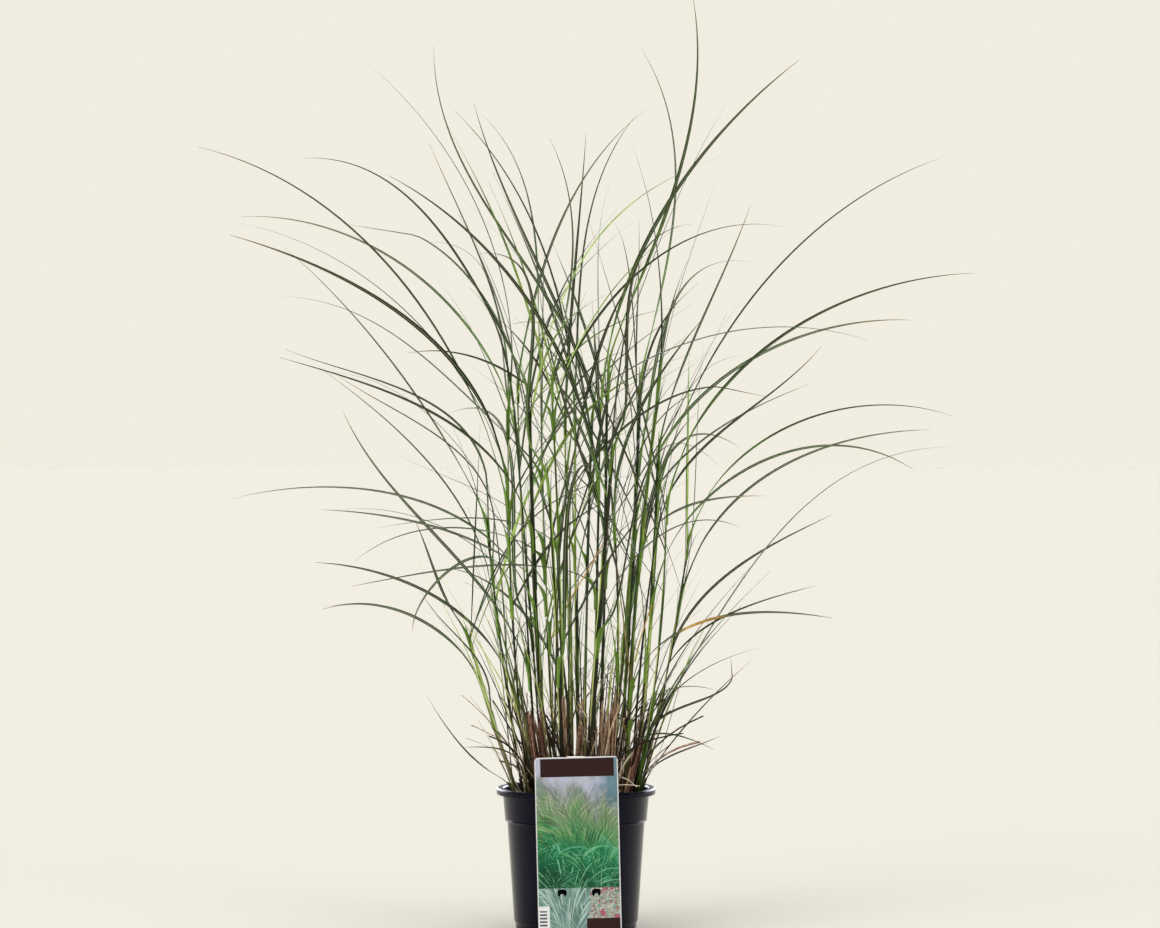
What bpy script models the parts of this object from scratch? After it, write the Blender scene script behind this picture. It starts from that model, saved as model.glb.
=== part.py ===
"""Miscanthus grass clump in a black nursery pot, with its potting mix and a printed plant label.

Metres, +Z up. The origin is the centre of the pot's underside. The label hangs on the -Y side.
Lengths below are in millimetres, and MM turns them to metres where a mesh is made.

Each stem is a tight roll of leaf sheaths that grows on into its own newest leaf, so the two are one solid.
The older leaves leave a stem on the way up, and each of those is a solid of its own.
"""

from collections import namedtuple
import math

import bmesh
import bpy
from mathutils import Vector

MM = 0.001
GAP = 0.4  # clearance between solids that touch in the real clump

# Pot: a thin moulded wall that steps out to a collar, with a rolled rim and a stepped-in foot.
TURNED_SIDES = 48
WALL = 1.6
RIM_RADIUS = 85.0
RIM_TOP = 155.0
RIM_BOTTOM = 148.2
COLLAR_TOP_RADIUS = 78.7
COLLAR_BOTTOM_RADIUS = 75.8
STEP_HEIGHT = 119.8
BODY_TOP_RADIUS = 73.5
BODY_BOTTOM_RADIUS = 66.2
FOOT_HEIGHT = 12.8
FOOT_RADIUS = 65.0
BASE_RADIUS = 62.5
FLOOR_THICKNESS = 2.0
DRAIN_HOLES = 8
DRAIN_WIDTH = 12.0
DRAIN_HEIGHT = 8.0
DRAIN_INNER_RADIUS = 54.0

# Potting mix: fills the pot to just under the rim, a little higher round the stems.
MIX_EDGE_HEIGHT = 146.0
MIX_CENTRE_HEIGHT = 150.0

# Label: a stiff printed card, hooked over the front of the rim by a strip from its top edge.
LABEL_WIDTH = 87.0
LABEL_TOP = 194.7
LABEL_BOTTOM = 4.0
LABEL_THICKNESS = 0.6
LABEL_CORNER_RADIUS = 4.0
LABEL_TILT = math.radians(1.41)
LABEL_BACK_Y = -(RIM_RADIUS + GAP)
SLOT_WIDTH = 9.4
SLOT_HEIGHT = 8.4
SLOT_CENTRE_HEIGHT = 52.5
SLOT_OFFSETS = (-17.8, 17.8)
STRIP_WIDTH = 18.0
STRIP_FOLD_Y = -79.2
STRIP_END_Y = -73.3
STRIP_END_HEIGHT = 128.0

# Stems and leaves.
SOCKET_FLOOR = 139.0
SOCKET_DEPTH_GAP = 1.0
STEM_FOOT_RADIUS = 2.6
STEM_TOP_RADIUS = 1.7
STEM_SIDES = 6
STEM_STEPS = 5
BLADE_HALF_WIDTH = 2.6
BLADE_HALF_THICKNESS = 0.6
TIP_HALF_WIDTH = 0.5
TIP_HALF_THICKNESS = 0.3
BLADE_STEPS = 9
NEWEST_BLADE_STEPS = 7
REACH_POWER = 1.4  # a leaf climbs first and reaches forwards or back later
STUB_SIDES = 6

# A stem's foot and middle are (x, y) and its top is (x, y, z). Its newest leaf then passes
# near and far, both (x, z), on the way to its tip, and depth is how far forwards or back the tip ends.
Stem = namedtuple("Stem", "foot middle top near far tip depth")
STEMS = [
    Stem((-50, -14), (-68, -20), (-72, -28, 560), (-87, 728), (-138, 835), (-227, 937), 60),
    Stem((-39, 12), (-55, 18), (-63, 26, 600), (-16, 766), (31, 847), (84, 900), 150),
    Stem((-29, -30), (-43, -42), (-50, -56, 590), (-97, 674), (-223, 809), (-282, 818), -110),
    Stem((-20, 22), (-33, 28), (-38, 32, 630), (-44, 742), (-65, 826), (-103, 879), 30),
    Stem((-13, -8), (-17, -10), (-27, -14, 600), (-7, 685), (-5, 770), (-28, 844), -60),
    Stem((-3, 34), (-9, 50), (-12, 70, 560), (-6, 664), (3, 770), (11, 868), 140),
    Stem((19, -22), (22, -30), (27, -38, 590), (67, 721), (140, 835), (235, 926), -60),
    Stem((24, 10), (31, 14), (34, 16, 620), (94, 763), (126, 883), (124, 1003), -10),
    Stem((38, -6), (45, -8), (40, -14, 450), (62, 547), (99, 610), (132, 652), -90),
    Stem((44, 28), (60, 40), (69, 52, 600), (94, 697), (109, 830), (72, 959), 110),
    Stem((52, -24), (65, -32), (90, -44, 600), (90, 677), (78, 769), (59, 833), -100),
    Stem((62, 6), (80, 10), (89, 14, 530), (119, 617), (157, 702), (190, 783), 60),
    Stem((62, -14), (88, -22), (96, -30, 470), (165, 591), (273, 667), (419, 701), -70),
    Stem((-60, 4), (-91, 8), (-118, 12, 325), (-137, 351), (-156, 394), (-174, 439), 40),
    Stem((-35, 42), (-50, 74), (-66, 112, 540), (-85, 650), (-120, 740), (-170, 760), 330),
    Stem((8, 52), (12, 88), (18, 130, 560), (25, 690), (30, 790), (40, 830), 310),
    Stem((38, 44), (54, 76), (72, 112, 520), (95, 640), (140, 720), (200, 735), 300),
    Stem((-14, -52), (-20, -74), (-30, -104, 500), (-44, 620), (-60, 700), (-95, 705), -330),
    Stem((12, -46), (24, -72), (38, -100, 520), (52, 640), (75, 720), (115, 735), -320),
    Stem((-56, 24), (-80, 44), (-98, 66, 450), (-157, 549), (-251, 670), (-325, 742), 150),
    Stem((4, -2), (0, 6), (0, 12, 560), (-22, 691), (-60, 786), (-131, 881), 20),
    Stem((66, 16), (100, 28), (122, 36, 430), (181, 510), (308, 563), (409, 553), 60),
]

# A leaf leaves its stem at a height, and then runs as a stem's newest leaf does.
Leaf = namedtuple("Leaf", "stem height near far tip depth")
LEAVES = [
    Leaf(1, 470, (-146, 640), (-269, 776), (-407, 842), 20),
    Leaf(2, 540, (-138, 674), (-265, 757), (-371, 775), 130),
    Leaf(1, 490, (-145, 625), (-253, 699), (-357, 737), -130),
    Leaf(4, 500, (-118, 574), (-204, 645), (-328, 689), 180),
    Leaf(3, 440, (-137, 547), (-210, 581), (-301, 609), -180),
    Leaf(2, 290, (-118, 386), (-193, 464), (-261, 559), 170),
    Leaf(3, 360, (-114, 438), (-225, 474), (-362, 464), -60),
    Leaf(4, 370, (-127, 424), (-206, 444), (-277, 451), 60),
    Leaf(1, 255, (-125, 344), (-200, 384), (-272, 398), -90),
    Leaf(14, 275, (-148, 321), (-212, 347), (-277, 342), 70),
    Leaf(7, 490, (-14, 610), (-103, 733), (-191, 795), -170),
    Leaf(8, 520, (-11, 647), (-124, 828), (-154, 953), 40),
    Leaf(9, 440, (4, 612), (-53, 741), (-110, 889), 30),
    Leaf(6, 500, (3, 674), (27, 815), (66, 886), 120),
    Leaf(12, 480, (169, 651), (285, 774), (400, 838), 120),
    Leaf(10, 450, (132, 570), (253, 643), (375, 662), 170),
    Leaf(5, 560, (52, 689), (150, 745), (217, 743), -150),
    Leaf(1, 465, (6, 565), (154, 636), (297, 625), -205),
    Leaf(22, 370, (202, 484), (311, 529), (396, 539), 160),
    Leaf(13, 225, (166, 362), (263, 472), (397, 519), -30),
    Leaf(12, 360, (166, 486), (271, 520), (347, 495), -140),
    Leaf(22, 260, (120, 334), (197, 400), (287, 443), 190),
    Leaf(11, 275, (135, 335), (202, 346), (266, 341), -120),
    Leaf(13, 185, (105, 260), (152, 293), (195, 309), -78),
    Leaf(18, 300, (-10, 430), (10, 500), (40, 470), -340),
    Leaf(19, 330, (60, 450), (95, 520), (140, 500), -300),
    Leaf(15, 330, (-70, 470), (-100, 560), (-150, 560), 340),
    Leaf(17, 320, (80, 450), (125, 530), (190, 520), 310),
    Leaf(16, 400, (0, 560), (-30, 660), (-75, 665), 350),
]

# What is left of last year's stems, cut off above the mix: foot is (x, y), top is (x, y, z).
Stub = namedtuple("Stub", "foot top radius")
STUBS = [
    Stub((-36, -44), (-49, -50, 242), 3.6),
    Stub((-27, -47), (-41, -53, 236), 3.6),
    Stub((-8, -32), (-15, -36, 261), 3.2),
    Stub((34, -45), (40, -52, 262), 3.6),
    Stub((25, -38), (30, -46, 251), 3.3),
    Stub((50, -38), (68, -46, 216), 4.0),
]

# name: base colour, roughness
FINISHES = {
    "pot": ((0.014, 0.015, 0.024), 0.28),
    "potting_mix": ((0.030, 0.020, 0.013), 0.95),
    "plant_label": ((0.42, 0.48, 0.36), 0.35),
    "stem": ((0.20, 0.32, 0.09), 0.50),
    "leaf": ((0.065, 0.14, 0.045), 0.45),
    "old_stub": ((0.25, 0.13, 0.08), 0.85),
}


def clear_scene():
    for obj in list(bpy.data.objects):
        bpy.data.objects.remove(obj)


def material(kind):
    """The finish of one kind of piece, made once and shared."""
    found = bpy.data.materials.get(kind)
    if found:
        return found
    made = bpy.data.materials.new(kind)
    made.use_nodes = True
    colour, roughness = FINISHES[kind]
    shader = made.node_tree.nodes["Principled BSDF"]
    shader.inputs["Base Color"].default_value = (*colour, 1)
    shader.inputs["Roughness"].default_value = roughness
    shader.inputs["Metallic"].default_value = 0
    return made


def add_object(name, kind, points, faces, smooth=True):
    """A mesh object from points in millimetres."""
    mesh = bpy.data.meshes.new(name)
    mesh.from_pydata([Vector(p) * MM for p in points], [], faces)
    mesh.materials.append(material(kind))
    if smooth:
        mesh.shade_smooth()
        mesh.set_sharp_from_angle(angle=math.radians(50))
    obj = bpy.data.objects.new(name, mesh)
    bpy.context.scene.collection.objects.link(obj)
    return obj


def cut(obj, cutter, operation="DIFFERENCE"):
    """Joins or cuts obj with a helper, which isn't part of the clump itself."""
    cutter.hide_render = True
    cutter.display_type = "WIRE"
    boolean = obj.modifiers.new(cutter.name, "BOOLEAN")
    boolean.operation = operation
    boolean.solver = "EXACT"
    boolean.use_self = False
    boolean.object = cutter


# Shapes


def turned(profile):
    """Points and faces of a profile of (radius, height), listed from the axis, out, up and back to the axis."""
    points = []
    rings = []
    for radius, height in profile:
        if radius == 0:
            rings.append([len(points)] * TURNED_SIDES)
            points.append((0, 0, height))
            continue
        rings.append([len(points) + side for side in range(TURNED_SIDES)])
        for side in range(TURNED_SIDES):
            angle = 2 * math.pi * side / TURNED_SIDES
            points.append((radius * math.cos(angle), radius * math.sin(angle), height))
    faces = []
    for low, high in zip(rings, rings[1:]):
        for side in range(TURNED_SIDES):
            after = (side + 1) % TURNED_SIDES
            corners = [low[side], low[after], high[after], high[side]]
            faces.append(list(dict.fromkeys(corners)))
    return points, faces


def skinned(rings):
    """Points and faces of a closed solid through rings of equal length, capped at both ends."""
    sides = len(rings[0])
    points = [point for ring in rings for point in ring]
    faces = [list(range(sides))[::-1]]
    for step in range(len(rings) - 1):
        for side in range(sides):
            after = (side + 1) % sides
            here = step * sides
            there = here + sides
            faces.append([here + side, here + after, there + after, there + side])
    faces.append([len(points) - sides + side for side in range(sides)])
    return points, faces


def prism(outline, start, end):
    """Points and faces of an outline of (y, z) pushed from x = start to x = end."""
    rings = [[Vector((x, y, z)) for y, z in outline] for x in (start, end)]
    return skinned(rings)


def swept(path, wide, sizes, sides):
    """Rings along a path. wide is the blade's flat direction, and sizes are its (half width, half thickness)."""
    rings = []
    for step, (point, (half_width, half_thickness)) in enumerate(zip(path, sizes)):
        ahead = path[min(step + 1, len(path) - 1)]
        behind = path[max(step - 1, 0)]
        along = (ahead - behind).normalized()
        normal = along.cross(wide).normalized()
        across = normal.cross(along)
        ring = []
        for side in range(sides):
            angle = 2 * math.pi * side / sides
            offset = across * (half_width * math.cos(angle)) + normal * (half_thickness * math.sin(angle))
            ring.append(point + offset)
        rings.append(ring)
    return rings


def mix(start, end, share):
    return start + (end - start) * share


# Growth


def stem_point(stem, height, foot_height=SOCKET_FLOOR):
    """The middle of a stem at a height: one smooth bow through its foot, middle and top."""
    share = (height - foot_height) / (stem.top[2] - foot_height)
    weights = (
        (1 - share) * (1 - 2 * share),
        4 * share * (1 - share),
        share * (2 * share - 1),
    )
    across = [
        weights[0] * stem.foot[axis] + weights[1] * stem.middle[axis] + weights[2] * stem.top[axis]
        for axis in (0, 1)
    ]
    return Vector((*across, height))


def stem_radius(stem, height):
    share = (height - SOCKET_FLOOR) / (stem.top[2] - SOCKET_FLOOR)
    return mix(STEM_FOOT_RADIUS, STEM_TOP_RADIUS, share)


def blade_path(start, near, far, tip, depth, steps):
    """Points from start to tip, on the one cubic that passes near and far."""
    stops = [Vector((start.x, start.z)), Vector(near), Vector(far), Vector(tip)]
    shares = [0.0]
    for here, there in zip(stops, stops[1:]):
        shares.append(shares[-1] + (there - here).length)
    shares = [share / shares[-1] for share in shares]
    path = []
    for step in range(steps + 1):
        share = step / steps
        place = Vector((0, 0))
        for i, stop in enumerate(stops):
            weight = 1.0
            for j, other in enumerate(shares):
                if j != i:
                    weight *= (share - other) / (shares[i] - other)
            place += stop * weight
        path.append(Vector((place.x, mix(start.y, depth, share**REACH_POWER), place.y)))
    return path


def heading(path):
    """The level direction in which a blade leaves."""
    ahead = path[2] - path[0]
    return Vector((ahead.x, ahead.y, 0)).normalized()


def blade_sizes(steps, half_width, half_thickness):
    """(half width, half thickness) at each step: full for most of the blade, then fining to the tip."""
    sizes = []
    for step in range(steps + 1):
        fullness = 1 - (step / steps) ** 2.2
        sizes.append((
            mix(TIP_HALF_WIDTH, half_width, fullness),
            mix(TIP_HALF_THICKNESS, half_thickness, fullness),
        ))
    return sizes


def stem_path(stem):
    rise = stem.top[2] - SOCKET_FLOOR
    return [stem_point(stem, SOCKET_FLOOR + rise * step / STEM_STEPS) for step in range(STEM_STEPS + 1)]


def make_stem(number, stem):
    """A stem from its socket in the mix, with its newest leaf growing on from its top."""
    path = stem_path(stem)
    sizes = [(stem_radius(stem, point.z),) * 2 for point in path]
    blade = blade_path(path[-1], stem.near, stem.far, stem.tip, stem.depth, NEWEST_BLADE_STEPS)
    wide = heading(blade).cross(Vector((0, 0, 1)))
    path += blade[1:]
    sizes += blade_sizes(NEWEST_BLADE_STEPS, BLADE_HALF_WIDTH, BLADE_HALF_THICKNESS)[1:]
    points, faces = skinned(swept(path, wide, sizes, STEM_SIDES))
    return add_object(f"stem_{number:02d}", "stem", points, faces)


def make_leaf(number, leaf):
    """A leaf that starts against the outside of its stem."""
    stem = STEMS[leaf.stem - 1]
    start = stem_point(stem, leaf.height)
    raw = blade_path(start, leaf.near, leaf.far, leaf.tip, leaf.depth, BLADE_STEPS)
    out = heading(raw)
    clear = stem_radius(stem, leaf.height) + BLADE_HALF_THICKNESS + GAP
    path = [point + out * clear * (1 - step / BLADE_STEPS) ** 3 for step, point in enumerate(raw)]
    sizes = blade_sizes(BLADE_STEPS, BLADE_HALF_WIDTH, BLADE_HALF_THICKNESS)
    points, faces = skinned(swept(path, out.cross(Vector((0, 0, 1))), sizes, 4))
    return add_object(f"leaf_{number:02d}", "leaf", points, faces)


def stub_path(stub, steps=3):
    foot = Vector((*stub.foot, SOCKET_FLOOR))
    return [mix(foot, Vector(stub.top), step / steps) for step in range(steps + 1)]


def make_stub(number, stub):
    path = stub_path(stub)
    sizes = [(stub.radius, stub.radius)] * len(path)
    points, faces = skinned(swept(path, Vector((1, 0, 0)), sizes, STUB_SIDES))
    return add_object(f"old_stub_{number:02d}", "old_stub", points, faces)


def make_sockets():
    """One helper that holds the hole each stem and stub stands in."""
    points = []
    faces = []

    feet = [(stem_path(stem), STEM_FOOT_RADIUS) for stem in STEMS]
    feet += [(stub_path(stub), stub.radius) for stub in STUBS]
    for (foot, above, *_), radius in feet:
        slope = (above - foot) / (above.z - foot.z)
        path = [foot - slope * SOCKET_DEPTH_GAP, foot + slope * (MIX_CENTRE_HEIGHT + 6 - foot.z)]
        # The hole's corners and the stem's may not line up, so the hole's flats have to clear the stem.
        clear = (radius + GAP) / math.cos(math.pi / STEM_SIDES)
        hole, hole_faces = skinned(swept(path, Vector((1, 0, 0)), [(clear, clear)] * 2, STEM_SIDES))
        faces.extend([index + len(points) for index in face] for face in hole_faces)
        points.extend(hole)
    return add_object("stem_sockets", "potting_mix", points, faces, smooth=False)


# Pot, mix and label


def inner_wall():
    """The pot's inside as (radius, height), from the floor's edge up to the rim."""
    return [
        (BASE_RADIUS - 0.6, FLOOR_THICKNESS),
        (BASE_RADIUS + 0.1, FLOOR_THICKNESS + 1.0),
        (FOOT_RADIUS - WALL, FOOT_HEIGHT - 0.4),
        (BODY_BOTTOM_RADIUS - WALL, FOOT_HEIGHT + 1.2),
        (BODY_TOP_RADIUS - WALL, STEP_HEIGHT - 1.4),
        (COLLAR_BOTTOM_RADIUS - WALL - 0.1, STEP_HEIGHT + 0.8),
        (COLLAR_TOP_RADIUS - WALL - 0.1, RIM_TOP - 1.4),
        (COLLAR_TOP_RADIUS - 0.9, RIM_TOP),
    ]


def make_pot():
    """The wall in one turned piece. The rim rolls out and down, so it is open underneath."""
    roof = RIM_TOP - WALL - 0.5
    outside = [
        (0, 0),
        (BASE_RADIUS, 0),
        (FOOT_RADIUS - 0.9, 1.2),
        (FOOT_RADIUS, FOOT_HEIGHT - 0.6),
        (BODY_BOTTOM_RADIUS, FOOT_HEIGHT),
        (BODY_TOP_RADIUS, STEP_HEIGHT - 0.8),
        (COLLAR_BOTTOM_RADIUS, STEP_HEIGHT),
        (COLLAR_TOP_RADIUS, roof),
        (RIM_RADIUS - WALL, roof),
        (RIM_RADIUS - WALL, RIM_BOTTOM),
        (RIM_RADIUS, RIM_BOTTOM),
        (RIM_RADIUS, RIM_TOP - 1.2),
        (RIM_RADIUS - 1.0, RIM_TOP),
    ]
    profile = outside + inner_wall()[::-1] + [(0, FLOOR_THICKNESS)]
    pot = add_object("pot", "pot", *turned(profile))
    cut(pot, make_drain_cutter())
    return pot


def make_drain_cutter():
    """Slots through the corner between floor and foot."""
    points = []
    faces = []
    reach = FOOT_RADIUS + 4
    half = DRAIN_WIDTH / 2
    for hole in range(DRAIN_HOLES):
        turn = 2 * math.pi * (hole + 0.5) / DRAIN_HOLES
        outline = [(-half, -1), (half, -1), (half, DRAIN_HEIGHT), (-half, DRAIN_HEIGHT)]
        block, block_faces = prism(outline, DRAIN_INNER_RADIUS, reach)
        faces.extend([index + len(points) for index in face] for face in block_faces)
        for point in block:
            x = point.x * math.cos(turn) - point.y * math.sin(turn)
            y = point.x * math.sin(turn) + point.y * math.cos(turn)
            points.append((x, y, point.z))
    return add_object("drain_cutter", "pot", points, faces, smooth=False)


def make_potting_mix():
    """The mix follows the pot's inside with a small gap, and has a hole for each stem and for the label's strip."""
    wall = inner_wall()[:-1]
    bottom = [(wall[0][0] - GAP, wall[0][1] + GAP)]
    side = [(radius - GAP, height + GAP) for radius, height in wall[1:-1]]
    below, above = wall[-2], wall[-1]
    share = (MIX_EDGE_HEIGHT - below[1]) / (above[1] - below[1])
    edge = (mix(below[0], above[0], share) - GAP, MIX_EDGE_HEIGHT)
    top = [edge, (edge[0] * 0.55, MIX_CENTRE_HEIGHT - 0.8), (0, MIX_CENTRE_HEIGHT)]
    profile = [(0, bottom[0][1])] + bottom + side + top
    soil = add_object("potting_mix", "potting_mix", *turned(profile))
    cut(soil, make_sockets())
    cut(soil, make_strip_pocket())
    return soil


def strip_y(height):
    """Where the label's strip is at a height: it leans in, to clear the pot's taper."""
    share = (LABEL_TOP - height) / (LABEL_TOP - STRIP_END_HEIGHT)
    return mix(STRIP_FOLD_Y, STRIP_END_Y, share)


def make_strip_pocket():
    half = STRIP_WIDTH / 2 + GAP
    low = STRIP_END_HEIGHT - GAP
    inner_low = strip_y(low) + LABEL_THICKNESS / 2 + GAP
    inner_high = strip_y(RIM_TOP) + LABEL_THICKNESS / 2 + GAP
    outline = [(-RIM_RADIUS, low), (inner_low, low), (inner_high, RIM_TOP), (-RIM_RADIUS, RIM_TOP)]
    return add_object("strip_pocket", "potting_mix", *prism(outline, -half, half), smooth=False)


def label_outline():
    """The card's edge as (x, z) about its own middle, with round top corners."""
    half = LABEL_WIDTH / 2
    top = LABEL_TOP - label_middle()
    radius = LABEL_CORNER_RADIUS
    outline = [(-half, -top), (half, -top)]
    for centre, first in ((half - radius, 0), (-half + radius, 90)):
        for step in range(5):
            angle = math.radians(first + 90 * step / 4)
            outline.append((centre + radius * math.cos(angle), top - radius + radius * math.sin(angle)))
    return outline


def label_middle():
    return (LABEL_TOP + LABEL_BOTTOM) / 2


def make_label():
    """A card that hangs a little askew in front of the pot, and the strip that holds it on the rim."""
    front = LABEL_BACK_Y - LABEL_THICKNESS
    # The card turns about the middle of its top edge, so its foot swings to +X.
    drop = LABEL_TOP - label_middle()
    centre = (drop * math.tan(LABEL_TILT), label_middle())
    rings = []
    for y in (LABEL_BACK_Y, front):
        ring = []
        for x, z in label_outline():
            turned_x = x * math.cos(LABEL_TILT) - z * math.sin(LABEL_TILT)
            turned_z = x * math.sin(LABEL_TILT) + z * math.cos(LABEL_TILT)
            ring.append(Vector((centre[0] + turned_x, y, centre[1] + turned_z)))
        rings.append(ring)
    points, faces = skinned([ring[::-1] for ring in rings])
    label = add_object("plant_label", "plant_label", points, faces, smooth=False)
    cut(label, make_strip(), "UNION")
    cut(label, make_slot_cutter(centre))
    return label


def make_strip():
    """The strip's side view: up the card's back, over its top edge and down inside the rim."""
    half = STRIP_WIDTH / 2
    thick = LABEL_THICKNESS
    front = LABEL_BACK_Y - thick
    fold = LABEL_TOP - 3
    crown = LABEL_TOP + 0.6
    outline = [
        (front + 0.1, fold - 10),
        (LABEL_BACK_Y + 0.1, fold - 10),
        (LABEL_BACK_Y + 0.1, fold),
        (LABEL_BACK_Y + 1.4, crown - thick),
        (STRIP_FOLD_Y - 1.6, crown - thick),
        (strip_y(fold) - thick / 2, fold),
        (STRIP_END_Y - thick / 2, STRIP_END_HEIGHT),
        (STRIP_END_Y + thick / 2, STRIP_END_HEIGHT),
        (strip_y(fold) + thick / 2, fold),
        (STRIP_FOLD_Y - 1.2, crown),
        (LABEL_BACK_Y + 1.0, crown),
        (front + 0.1, fold),
    ]
    return add_object("label_strip", "plant_label", *prism(outline, -half, half), smooth=False)


def make_slot_cutter(centre):
    """The two slots near the card's foot."""
    points = []
    faces = []
    for offset in SLOT_OFFSETS:
        x = centre[0] + (label_middle() - SLOT_CENTRE_HEIGHT) * math.sin(LABEL_TILT) + offset
        z = SLOT_CENTRE_HEIGHT
        outline = [
            (LABEL_BACK_Y - 2, z - SLOT_HEIGHT / 2),
            (LABEL_BACK_Y + 2, z - SLOT_HEIGHT / 2),
            (LABEL_BACK_Y + 2, z + SLOT_HEIGHT / 2),
            (LABEL_BACK_Y - 2, z + SLOT_HEIGHT / 2),
        ]
        block, block_faces = prism(outline, x - SLOT_WIDTH / 2, x + SLOT_WIDTH / 2)
        faces.extend([index + len(points) for index in face] for face in block_faces)
        points.extend(block)
    return add_object("slot_cutter", "plant_label", points, faces, smooth=False)


def main():
    clear_scene()
    make_pot()
    make_potting_mix()
    make_label()
    for number, stem in enumerate(STEMS, 1):
        make_stem(number, stem)
    for number, leaf in enumerate(LEAVES, 1):
        make_leaf(number, leaf)
    for number, stub in enumerate(STUBS, 1):
        make_stub(number, stub)


main()
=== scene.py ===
"""Looks for the potted grass clump: fine leaves, sheathed stems, dry stalks, potting mix, pot and label.

Lengths are in millimetres unless a name or a comment says otherwise, and MM turns them to metres where a
mesh is made. The rows of stems and leaves are the clump's own growth plan, which the solid frame follows too.
"""

import math
import random
from collections import namedtuple

import bmesh
import bpy
import numpy as np
from mathutils import Matrix, Vector, noise


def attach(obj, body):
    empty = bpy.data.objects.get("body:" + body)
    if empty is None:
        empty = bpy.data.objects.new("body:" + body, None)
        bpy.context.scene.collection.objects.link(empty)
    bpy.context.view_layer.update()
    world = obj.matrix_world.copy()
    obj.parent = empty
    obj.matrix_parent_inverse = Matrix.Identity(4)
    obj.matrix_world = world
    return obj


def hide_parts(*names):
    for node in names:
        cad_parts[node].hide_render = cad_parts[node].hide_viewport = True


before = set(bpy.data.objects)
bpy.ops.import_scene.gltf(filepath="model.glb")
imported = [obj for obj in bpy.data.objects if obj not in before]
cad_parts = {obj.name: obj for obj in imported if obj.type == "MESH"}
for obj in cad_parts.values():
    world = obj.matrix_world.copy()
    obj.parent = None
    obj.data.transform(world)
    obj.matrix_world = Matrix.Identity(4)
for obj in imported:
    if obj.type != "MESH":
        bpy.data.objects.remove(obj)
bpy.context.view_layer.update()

MM = 0.001
UP = Vector((0, 0, 1))

# Growth -------------------------------------------------------------------------------------------

SOCKET_FLOOR = 139.0
STEM_FOOT_RADIUS = 2.9
STEM_TOP_RADIUS = 1.7
REACH_POWER = 1.4  # a leaf climbs first and reaches forwards or back later

# A stem's foot and middle are (x, y) and its top is (x, y, z). Its newest leaf then passes
# near and far, both (x, z), on the way to its tip, and depth is how far forwards or back the tip ends.
# A creased leaf is straight past its far point, where it once snapped over.
Stem = namedtuple("Stem", "foot middle top near far tip depth creased", defaults=(False,))
STEMS = [
    Stem((-50, -14), (-68, -20), (-72, -28, 560), (-87, 728), (-138, 835), (-227, 937), 60),
    Stem((-39, 12), (-55, 18), (-63, 26, 600), (-16, 766), (31, 847), (84, 900), 150),
    Stem((-29, -30), (-43, -42), (-50, -56, 590), (-97, 674), (-223, 809), (-282, 818), -110),
    Stem((-20, 22), (-33, 28), (-38, 32, 630), (-44, 742), (-65, 826), (-103, 879), 30),
    Stem((-13, -8), (-17, -10), (-27, -14, 600), (-7, 685), (-5, 770), (-28, 844), -60),
    Stem((-3, 34), (-9, 50), (-12, 70, 560), (-6, 664), (3, 770), (11, 868), 140),
    Stem((19, -22), (22, -30), (27, -38, 590), (67, 721), (140, 835), (235, 926), -60),
    Stem((24, 10), (31, 14), (34, 16, 620), (94, 763), (126, 883), (124, 1003), -10),
    Stem((38, -6), (45, -8), (40, -14, 450), (62, 547), (99, 610), (132, 652), -90),
    Stem((44, 28), (60, 40), (69, 52, 600), (94, 697), (109, 830), (72, 959), 110),
    Stem((52, -24), (65, -32), (90, -44, 600), (90, 677), (78, 769), (59, 833), -100),
    Stem((62, 6), (80, 10), (89, 14, 530), (119, 617), (157, 702), (190, 783), 60),
    Stem((62, -14), (88, -22), (96, -30, 470), (165, 591), (273, 667), (419, 701), -70),
    Stem((-60, 4), (-91, 8), (-118, 12, 325), (-137, 351), (-156, 394), (-174, 439), 40),
    Stem((-35, 42), (-50, 74), (-66, 112, 540), (-85, 650), (-120, 740), (-170, 760), 330),
    Stem((8, 52), (12, 88), (18, 130, 560), (25, 690), (30, 790), (40, 830), 310),
    Stem((38, 44), (54, 76), (72, 112, 520), (95, 640), (140, 720), (200, 735), 300),
    Stem((-14, -52), (-20, -74), (-30, -104, 500), (-44, 620), (-60, 700), (-95, 705), -330),
    Stem((12, -46), (24, -72), (38, -100, 520), (52, 640), (75, 720), (115, 735), -320),
    Stem((-56, 24), (-80, 44), (-98, 66, 450), (-157, 549), (-251, 670), (-325, 742), 150),
    Stem((4, -2), (0, 6), (0, 12, 560), (-22, 691), (-60, 786), (-131, 881), 20),
    Stem((66, 16), (100, 28), (122, 36, 430), (181, 510), (308, 563), (409, 553), 60),
]

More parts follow.
